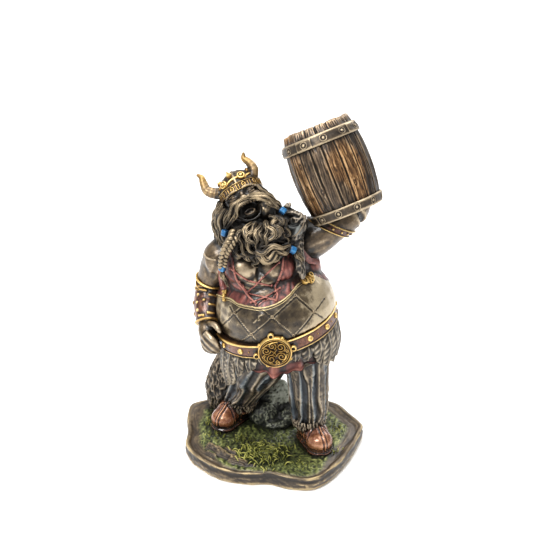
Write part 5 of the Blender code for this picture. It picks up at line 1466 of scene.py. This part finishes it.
MOUSTACHE = [
    (0.75, [(-10.4, -12, 131.1), (-14, -13.6, 130), (-16.2, -14.2, 127.3),
        (-17.1, -14.2, 124), (-18.8, -13.4, 119.9), (-20.6, -12.4, 116.3)]),
    (0.7, [(-9.8, -11.6, 131.7), (-13.7, -12.9, 130.8), (-16.8, -13.8, 128.4),
        (-18.2, -13.9, 125.1), (-19.5, -13, 120.4), (-20.8, -12, 116.1)]),
    (0.7, [(-10.8, -12.2, 130.1), (-13.7, -14, 128.9), (-15.4, -14.6, 126.5),
        (-16.1, -14.4, 123.5), (-17.8, -13.6, 120), (-20.2, -12.6, 116.2)]),
    (0.65, [(-12.5, -11, 130.7), (-16.2, -12.6, 128.4), (-18.3, -13.3, 125.3),
        (-19.8, -13, 121.8), (-20.6, -12.6, 118.7), (-21, -11.8, 115.8)]),
    (0.6, [(-15.3, -10.8, 127.7), (-18, -12, 125.2), (-20, -12.2, 122.3),
        (-21.2, -12, 118.9), (-21.3, -11.6, 115.7)]),
    (0.55, [(-14.5, -13, 127.3), (-16, -14, 124.8), (-17.3, -13.8, 121.7),
        (-19.3, -13, 118.4), (-20.5, -12.3, 115.8)]),
    (0.75, [(-11, -12, 131.4), (-7.1, -13.2, 132), (-3.2, -13.5, 131),
        (0.1, -12.6, 128.3), (2.5, -10.5, 124.8)]),
    (0.7, [(-10.8, -11.5, 132), (-6.7, -12.8, 132.5), (-2.4, -13, 131.1),
        (0.9, -12, 128.3), (2.8, -10, 124.9)]),
    (0.7, [(-10.6, -12.4, 130.5), (-6.3, -13.8, 131.2), (-3, -13.8, 129.9),
        (0.1, -12.6, 127.1), (2.3, -10.8, 124.2)]),
    (0.6, [(-9.4, -10.8, 132.3), (-5.5, -12, 132.6), (-1.5, -12.2, 130.9),
        (1.5, -11, 127.8), (3, -9.8, 125.1)]),
    (0.5, [(-7.9, -13.4, 130.4), (-4.4, -14, 129.8), (-1.3, -13.2, 127.4), (1.5, -11.2, 124.5)]),
]

SIDE_HAIR = [
    (1.2, [(-22.5, -3.5, 124.8), (-24, -3, 121.2), (-24.5, -3.2, 118.7), (-25.5, -2.5, 115.4),
        (-24.9, -3, 112.1), (-24.3, -4, 109), (-23.3, -6, 107.2)]),
    (1.2, [(-21.6, -6, 124.7), (-23.1, -6, 122), (-23.6, -5.5, 119), (-24.5, -5, 115.5),
        (-23.6, -5.5, 112.7), (-22.8, -7, 110.3), (-21.6, -9, 109)]),
    (1.1, [(-20.6, -8.5, 124.2), (-21.8, -8.5, 121.3), (-23, -8, 118.1), (-22.6, -8, 114.8),
        (-21.8, -9, 112.5), (-20.6, -10.5, 110.5), (-20.1, -12, 108.1)]),
    (1.2, [(-23.2, 0, 124.3), (-24.4, 1, 120.5), (-25.4, 1.5, 117.2), (-25.8, 2, 113.1),
        (-25.6, 1.5, 109.3), (-25, 0, 106.4), (-24.2, -2, 104.6)]),
    (1.2, [(-23.4, 4, 122.7), (-24.6, 5, 118.9), (-25.5, 6, 114.9), (-25.9, 6.5, 110.7),
        (-25.8, 6, 106.9), (-25.1, 5, 103.3), (-24.3, 3, 101)]),
    (0.9, [(-19.3, -10.5, 124.2), (-20.3, -10.5, 121), (-20.6, -10.5, 117.8),
        (-19.7, -11, 115.5), (-18.8, -12.5, 114), (-18.4, -14.5, 112.3)]),
    (1.0, [(-19.4, -12, 113.7), (-20.2, -12.5, 111.4), (-20.5, -13.5, 109.2),
        (-20.2, -14.5, 106.6), (-19.7, -15, 103.8)]),
    (0.9, [(-22, -5, 125.4), (-23, -5.4, 123.4), (-23.9, -5, 120.7),
        (-23.6, -5, 117.7), (-24.5, -4.6, 114.5), (-24.1, -5, 111.6)]),
    (0.9, [(-8, -2, 132.5), (-5, -3, 130.1), (-2, -4, 128.1), (0.8, -4.5, 125.8), (2.4, -4.5, 123.1)]),
    (0.9, [(-7.6, 2, 130.7), (-4.6, 2, 127.8), (-1.4, 1, 125.6), (1.4, 0, 123.7), (2.6, -1.5, 120.6)]),
]

PLAIT_LINE = [
    (1.0, [(-16.5, -15.5, 116.5), (-17.5, -18, 114.8), (-19.2, -19.2, 112.4),
        (-20.6, -19.4, 109.7), (-21.5, -18.4, 105.8), (-21.9, -17.6, 102.6)]),
]

PLAIT_TAIL = [
    (0.8, [(-21.9, -17.4, 101), (-22, -18, 98.7), (-21, -18.6, 95.9), (-19.3, -19.6, 94.4)]),
    (0.6, [(-21.8, -17.4, 101), (-21.3, -18.4, 98.9), (-20.4, -18.8, 96.4), (-19, -19.8, 94.2)]),
]

SIDE_TAIL = [
    (0.9, [(7.6, -15.4, 108.1), (9.2, -15.6, 106.5), (10.5, -15.8, 104), (11.3, -16.2, 101.5)]),
    (0.6, [(8, -15.2, 108.3), (10.2, -15.2, 106.5), (11.5, -15.6, 104.5), (11.9, -16, 103.2)]),
]

BEADS = [
    (1.5, [(-20.8, -12.8, 115.5)]),
    (1.5, [(2.9, -10.6, 124.4)]),
    (1.5, [(7.1, -16.4, 109.4)]),
    (1.5, [(-21.9, -17.8, 101.9)]),
]


def tress(shape, radius, rows, seed=0, out=(0.0, -1.0, 0.3), fine=2, rub=0.0, wave=0.42):
    """A lock of hair: a grooved strand that tapers, with thinner ones wound loosely round it."""
    rows = np.asarray(rows, float)
    line = fine_rows(rows, 5)
    n = len(line)
    t = np.linspace(0, 1, n)
    sway = np.cross(rows_unit(np.gradient(line, axis=0)), unit(out))
    line = line + sway * (np.sin(t * (7.0 + seed % 3 + 4.0 * wave) + 2.1 * seed) * wave * radius * np.minimum(t * 4.0, 1.0))[:, None]
    thick = radius * (0.72 + 0.28 * np.sin(np.clip(t * 1.3, 0, 1) * math.pi)) * (1.0 - 0.72 * t**2.2)
    out = unit(out)
    phase = 1.7 * seed

    def outward(a, share):
        return rub - 0.05 + 0.20 * np.cos(6 * (a + share * 1.0) + phase)

    sweep(shape, np.column_stack([line, thick]), sides=18, steps=0, rub=outward,
          section=lambda a, share: 1.0 + 0.21 * np.cos(6 * (a + share * 1.0) + phase) + 0.05 * np.cos(4 * a - 3 * share))
    along = rows_unit(np.gradient(line, axis=0))
    side = rows_unit(np.cross(along, out))
    lift = rows_unit(np.cross(side, along))
    for k in range(fine):
        swing = phase + k * 2.3 + t * (2.2 + 0.7 * k)
        offset = side * np.sin(swing)[:, None] * 0.95 + lift * (0.45 + 0.4 * np.cos(swing))[:, None]
        strand = line + offset * thick[:, None]
        sweep(shape, np.column_stack([strand, thick * 0.24]), sides=5, steps=0, rub=rub + 0.16)


def hair():
    rng = np.random.default_rng(11)
    mass = Shape()
    for centre, halves in (
        ((-9, -5.0, 112.5), (10.6, 7.0, 8.6)), ((-19.8, 1, 112), (5.2, 7.6, 11.6)), ((1.0, 2, 112), (6.2, 8, 9.2)),
        ((-8.5, 8.5, 112), (10.6, 6.3, 10.8)), ((-9.0, -12.0, 113.5), (7.8, 5.2, 4.4)), ((-3.4, -5.6, 123.0), (4.6, 4.5, 5.2)),
    ):
        ball(mass, centre, halves)
    obj = cast(mass, "hair_mass", 0.74, 2)
    carve(obj, lambda p, q: 0.45 * (1.0 - 2.2 * np.abs(noise(p, (1.0, 1.0, 4.0), 3))) + 0.3 * layers(p, (2.2, 2.2, 6.0), 4))
    points, _, _ = arrays(obj)
    # The hair mass under the locks is darkened: painted shade between the locks.
    finish_piece(obj, HAIR, "cast_bronze", None, np.full(len(points), -0.28), reach=0.4)
    beard = Shape()
    for k, (radius, rows) in enumerate(BEARD):
        tress(beard, radius, rows, seed=k, fine=5, rub=(0.04, -0.16, -0.08)[k % 3], wave=0.85)
    # Small wavy wisps fill the beard between its large locks.
    for k in range(26):
        t = rng.random()
        x0 = -19.5 + 24.5 * t
        arch = math.sin(math.pi * t)
        z0 = 119.5 + 2.0 * t - rng.random() * 7.0 * arch - 1.0
        y0 = -9.6 - 6.0 * arch * (0.45 + 0.55 * (121.5 - z0) / 10.0)
        rows = []
        turn = rng.random() * 6.28
        for j in range(6):
            wave = math.sin(turn + j * 1.9) * 0.9
            rows.append((x0 + wave + (-6.5 - x0) * 0.05 * j, y0 - 1.15 * j * (0.5 + 0.5 * arch) + 0.16 * j * j, z0 - 1.75 * j))
        tress(beard, 0.6 + 0.3 * rng.random(), rows, seed=k + 40, fine=1, rub=-0.14 + 0.06 * rng.normal(), wave=0.8)
    piece(beard, "beard", HAIR, "cast_bronze", reach=0.22)
    lip = Shape()
    for k, (radius, rows) in enumerate(MOUSTACHE):
        tress(lip, radius * 0.86, rows, seed=k + 3, fine=2, rub=-0.14 if k % 2 else 0.0, wave=0.6)
    piece(lip, "moustache", HAIR, "cast_bronze", reach=0.20)
    side = Shape()
    for k, (radius, rows) in enumerate(SIDE_HAIR):
        tress(side, radius, rows, seed=k + 7, out=(-0.8, -0.6, 0.1) if rows[0][0] < -12 else (0.7, -0.7, 0.4), fine=3, rub=0.16, wave=0.75)
    count = 26
    for k in range(count):
        angle = math.pi * (0.02 + 0.96 * k / (count - 1))
        across, back = math.cos(angle), math.sin(angle)
        start = head(across * 8.0, -back * 7.9 + 0.4, -0.2)
        end = np.array([-8.5 + across * 13.6, 6.0 + back * 12.6, 99.5 + 3.0 * rng.random()])
        rows = []
        for j in range(7):
            s = j / 6.0
            bulge = math.sin(math.pi * min(s * 1.15, 1.0)) * 2.4
            wave = math.sin(s * 12.0 + k * 1.7) * 1.3
            place = start * (1 - s) + end * s + np.array([across * bulge - back * wave, back * bulge + across * wave, 0.0])
            rows.append(place)
        tress(side, 1.5, rows, seed=k, out=(across, back, 0.2), fine=3, rub=-0.04, wave=0.6)
    piece(side, "side_hair", HAIR, "cast_bronze", reach=0.24)
    plaits = Shape()
    line = fine_rows(PLAIT_LINE[0][1], 26)
    n = len(line)
    t = np.linspace(0, 1, n)
    along = rows_unit(np.gradient(line, axis=0))
    out = np.array([0.1, -1.0, 0.35])
    across = rows_unit(np.cross(along, out))
    lift = rows_unit(np.cross(across, along))
    size = 1.0 - 0.30 * t
    for k in range(3):
        turn = t * 15.0 / 4.2 * 2 * math.pi + 2 * math.pi * k / 3
        strand = line + across * (np.sin(turn) * 1.55 * size)[:, None] + lift * (np.sin(2 * turn) * 0.75 * size + 0.4)[:, None]
        sweep(plaits, np.column_stack([strand, 1.12 * size]), sides=12, steps=0, rub=-0.30,
              section=lambda a, s: 1.0 + 0.13 * np.cos(6 * a + 9 * s))
    for radius, rows in PLAIT_TAIL + SIDE_TAIL:
        tress(plaits, radius, rows, seed=5, fine=3, rub=0.02)
    piece(plaits, "plaits", HAIR, "cast_bronze", reach=0.24)
    beads = Shape()
    for index, (radius, rows) in enumerate(BEADS):
        centre = np.array(rows[0])
        axis = unit([(-0.2, -0.1, -1.0), (0.8, -0.3, -0.5), (0.8, 0.0, -0.45), (-0.1, 0.0, -1.0)][index])
        turn = unit(np.cross(axis, [0.1, -1.0, 0.2]))
        other = np.cross(axis, turn)
        rows = [(*(centre + axis * s), r) for s, r in ((-1.35, 0.9), (-1.2, 1.32), (-0.5, 1.5), (0.5, 1.5), (1.2, 1.32), (1.35, 0.9))]
        sweep(beads, rows, sides=24, steps=4, first=turn, rub=0.0,
              section=lambda a, s: 1.0 + 0.05 * np.cos(4 * a) + 0.03 * np.cos(8 * a) - 0.05 * bump(s - 0.5, 0.12))
    piece(beads, "beads", BEAD, "painted_bead", reach=0.5)


# The pelt: the beast's head on the shoulder, the hide down the back

def pelt():
    shape = Shape()
    ball(shape, (8.0, -5.5, 117.2), (5.2, 5.4, 3.8), axes=(unit([1, 0, -0.25]), unit([0, 1, 0.3]), unit([0.25, -0.3, 1])))
    sweep(shape, [(5, -3.4, 119.4, 3.4), (9.5, -8.2, 119.6, 2.9), (12.4, -9.4, 121.4, 0.9)], sides=20)
    sweep(shape, [(4.6, -3.6, 121.2, 2.0), (5.0, -3.6, 123.4, 1.5), (5.9, -3.0, 125.2, 0.5)], sides=16)
    sweep(shape, [(10.6, -7.6, 117.5, 2.4), (8.6, -11.4, 114.0, 1.9), (6.4, -12.2, 111.4, 1.0)], sides=20)
    ball(shape, (8.8, 2.5, 110.2), (6.0, 6.6, 7.2))
    sweep(shape, [(8.4, -8.0, 111.5, 3.0), (9.2, -12.0, 106.0, 2.6), (10.4, -15.2, 100.4, 1.9), (11.6, -17.0, 96.6, 0.8)], sides=20)
    obj = cast(shape, "pelt_head", 0.42, 2)
    points, normals, _ = arrays(obj)
    x, v = seen(points)
    front = normals @ -SEEN_IN > -0.1
    slot_line = [(5.2, 106.0), (7.2, 106.6), (9.4, 106.2)]
    slot = from_line(x, v, slot_line)
    under = from_line(x, v, [(4.2, 103.6), (6.6, 102.4), (9.0, 102.8), (11.0, 104.8)])
    panel = np.hypot((x - 7.6) / 3.4, (v - 100.7) / 2.7)
    relief = np.where(front, -1.5 * bump(slot, 0.9) + 0.5 * bump(slot - 1.3, 0.6) - 1.4 * bump(under, 0.9), 0.0)
    smooth = np.where(front, step(1.15, 0.9, panel), 0.0)
    fur = 0.35 * (1.0 - 2.2 * np.abs(noise(points, (0.8, 0.8, 2.2), 6))) + 0.2 * layers(points, 2.0, 3)
    relief = relief + fur * (1 - smooth) + 0.25 * smooth
    move(obj, points + normals * relief[:, None])
    # The beast's mouth slot and the groove under it are darkened: painted shade in them.
    rub = np.where(front, -0.8 * bump(slot, 0.8) - 0.7 * bump(under, 0.8), 0.0) - 0.05
    finish_piece(obj, PELT, "cast_bronze", smooth, rub - 0.10 * smooth, reach=0.32)
    rim = Shape()
    for x0, v0 in fine_rows([(11.9, 105.6, 0), (11.5, 103.4, 0), (10.6, 101.2, 0), (9.3, 99.2, 0), (7.6, 98.0, 0), (5.8, 97.8, 0), (4.4, 98.6, 0)], 4)[:, :2]:
        place, _ = on_body(body_tree_of(obj), x0, v0, 0.1)
        if place is not None:
            ball(rim, place, (0.42, 0.42, 0.42), around=8, down=6, rub=0.25)
    piece(rim, "pelt_rim", FUR, "cast_bronze", reach=0.4)
    hide = Shape()
    count = 12
    for k in range(count):
        t = k / (count - 1)
        x0 = -19.0 + 34.0 * t
        low = 34.0 + 6.0 * math.sin(math.pi * t * 2.0) * (t - 0.3) + 8.0 * t
        arch = math.sin(math.pi * t)
        sweep(hide, [(x0 * 0.62 - 2.5, 9.0 + 5.0 * arch, 110.5 - 3.0 * abs(2.0 * t - 1.0), 3.4), (x0 * 0.85 - 2.0, 15.5 + 4.0 * arch, 101.0, 4.6),
                     (x0 * 1.02, 21.5 + 5.0 * arch, 72.0, 4.6), (x0 * 1.05, 22.0 + 4.0 * arch, low, 2.4)], sides=18, steps=6)
    obj = cast(hide, "hide", 0.88, 2)
    points, normals, _ = arrays(obj)
    locks = 1.0 - 2.4 * np.abs(noise(points, (1.5, 1.5, 6.0), 21))
    fine = 1.0 - 2.2 * np.abs(noise(points, (0.8, 0.8, 3.6), 25))
    move(obj, points + normals * (0.65 * locks + 0.30 * fine - 0.3)[:, None])
    finish_piece(obj, FUR, "cast_bronze", None, np.full(len(points), -0.02), reach=0.55)
    tail = Shape()
    for x0, y0, low, thick in ((-23, 20, 8.5, 6.0), (-26.5, 22, 8.0, 5.4), (-28.5, 25, 8.0, 4.0), (-19, 25, 8.0, 5.6)):
        sweep(tail, [(-11, 21, 56, 4.6), (x0 * 0.75 - 1.6, y0, 37, thick * 0.85), (x0 - 0.5, y0 + 1, 20, thick), (x0, y0 + 1, low, thick * 0.8)],
              sides=18, steps=6)
    obj = cast(tail, "hide_end", 0.62, 2)
    points, normals, _ = arrays(obj)
    locks = 1.0 - 2.4 * np.abs(noise(points, (1.3, 1.3, 3.4), 31))
    fine = 1.0 - 2.2 * np.abs(noise(points, (0.75, 0.75, 1.8), 35))
    move(obj, points + normals * (0.75 * locks + 0.40 * fine - 0.3)[:, None])
    finish_piece(obj, FUR, "cast_bronze", None, np.full(len(points), -0.06), reach=0.6)


def body_tree_of(obj):
    if obj.name not in TREES:
        TREES[obj.name] = body_tree(obj)
    return TREES[obj.name]


TREES = {}


# Painted shade and dark washing: the paint darkens where surfaces crowd together

def blur(field, reach):
    """A box blur along each axis, twice."""
    for _ in range(2):
        for axis in range(3):
            total = np.cumsum(field, axis=axis, dtype=np.float32)
            ahead = np.roll(total, -reach, axis=axis)
            behind = np.roll(total, reach + 1, axis=axis)
            field = (ahead - behind) / (2 * reach + 1)
    return field


def wash_and_painted_shade(objects, cell=0.6):
    """Painted shade and dark washing: lowers how rubbed the paint is at corners whose outer side has other surface
    close to it.
    """
    everything = [arrays(o) for o in objects]
    low = np.array([-52.0, -46.0, -8.0])
    size = (np.array([104.0, 92.0, 184.0]) / cell).astype(int)
    field = np.zeros(size, np.float32)
    for points, _, _ in everything:
        index = ((points - low) / cell).astype(int)
        index = np.clip(index, 0, size - 1)
        field[index[:, 0], index[:, 1], index[:, 2]] = 1.0
    near = blur(field, 2)
    wide = blur(field, 4)
    for obj, (points, normals, _) in zip(objects, everything):
        shade = np.zeros(len(points))
        for soft, away, weight in ((near, 1.5, 2.6), (wide, 3.2, 3.6)):
            index = np.clip(((points + normals * away - low) / cell).astype(int), 0, size - 1)
            shade += weight * soft[index[:, 0], index[:, 1], index[:, 2]]
        field_out = obj.data.attributes["worn"].data
        worn = np.empty(len(points), np.float32)
        field_out.foreach_get("value", worn)
        worn = np.clip(worn - np.clip(shade - 0.58, 0.0, 0.75) * 0.8 - 0.02, 0.0, 1.0)
        field_out.foreach_set("value", worn)


# Camera, floor and light

def stage():
    distance, elevation = 0.430, math.radians(25.0)
    camera = bpy.data.cameras.new("camera")
    camera.sensor_width = 36.0
    camera.lens = 36.0 * 995.0 / 533.0
    camera.clip_start = 0.01
    holder = bpy.data.objects.new("camera", camera)
    holder.location = (-0.0037, -distance * math.cos(elevation), 0.0943 + distance * math.sin(elevation))
    holder.rotation_euler = (math.pi / 2 - elevation, 0.0, 0.0)
    bpy.context.scene.collection.objects.link(holder)
    bpy.context.scene.camera = holder
    mesh = bpy.data.meshes.new("floor")
    mesh.from_pydata([(-3, -3, 0), (3, -3, 0), (3, 3, 0), (-3, 3, 0)], [], [(0, 1, 2, 3)])
    floor = bpy.data.objects.new("floor", mesh)
    bpy.context.scene.collection.objects.link(floor)
    pale = bpy.data.materials.new("floor_pale")
    pale.use_nodes = True
    shader = pale.node_tree.nodes["Principled BSDF"]
    shader.inputs["Base Color"].default_value = (0.93, 0.93, 0.93, 1.0)
    shader.inputs["Roughness"].default_value = 0.9
    floor.data.materials.append(pale)
    bpy.context.scene.view_settings.view_transform = "Standard"
    world = bpy.data.worlds.new("studio")
    bpy.context.scene.world = world
    world.use_nodes = True
    world.node_tree.nodes["Background"].inputs["Color"].default_value = (1.0, 1.0, 1.0, 1.0)
    world.node_tree.nodes["Background"].inputs["Strength"].default_value = 0.48

    def lamp(name, place, size, power):
        light = bpy.data.lights.new(name, "AREA")
        light.shape = "SQUARE"
        light.size = size
        light.energy = power
        obj = bpy.data.objects.new(name, light)
        obj.location = place
        obj.rotation_euler = (Vector((0, 0, 0.08)) - Vector(place)).to_track_quat("-Z", "Y").to_euler()
        bpy.context.scene.collection.objects.link(obj)

    lamp("top", (-0.05, 0.05, 0.90), 0.55, 6.0)
    lamp("key", (-0.30, -0.45, 0.60), 0.25, 4.0)
    lamp("back", (0.35, 0.50, 0.50), 0.40, 2.5)
    sky = bpy.data.lights.new("sky", "SUN")
    sky.energy = 1.75
    sky.angle = math.radians(70.0)
    holder = bpy.data.objects.new("sky", sky)
    holder.rotation_euler = (math.radians(8.0), math.radians(-10.0), 0.0)
    bpy.context.scene.collection.objects.link(holder)


stage()
cask()
ground()
grass()
rock()
trimmings(trunk())
belt()
buckle()
skirt()
tassets()
trousers()
boots()
arm_surface = arms()
bracer()
armband(arm_surface)
face()
helmet()
hair()
pelt()
made = [o for o in bpy.data.objects if o.type == "MESH" and "worn" in o.data.attributes]
wash_and_painted_shade(made)
for obj in made:
    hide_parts("viking_statue")
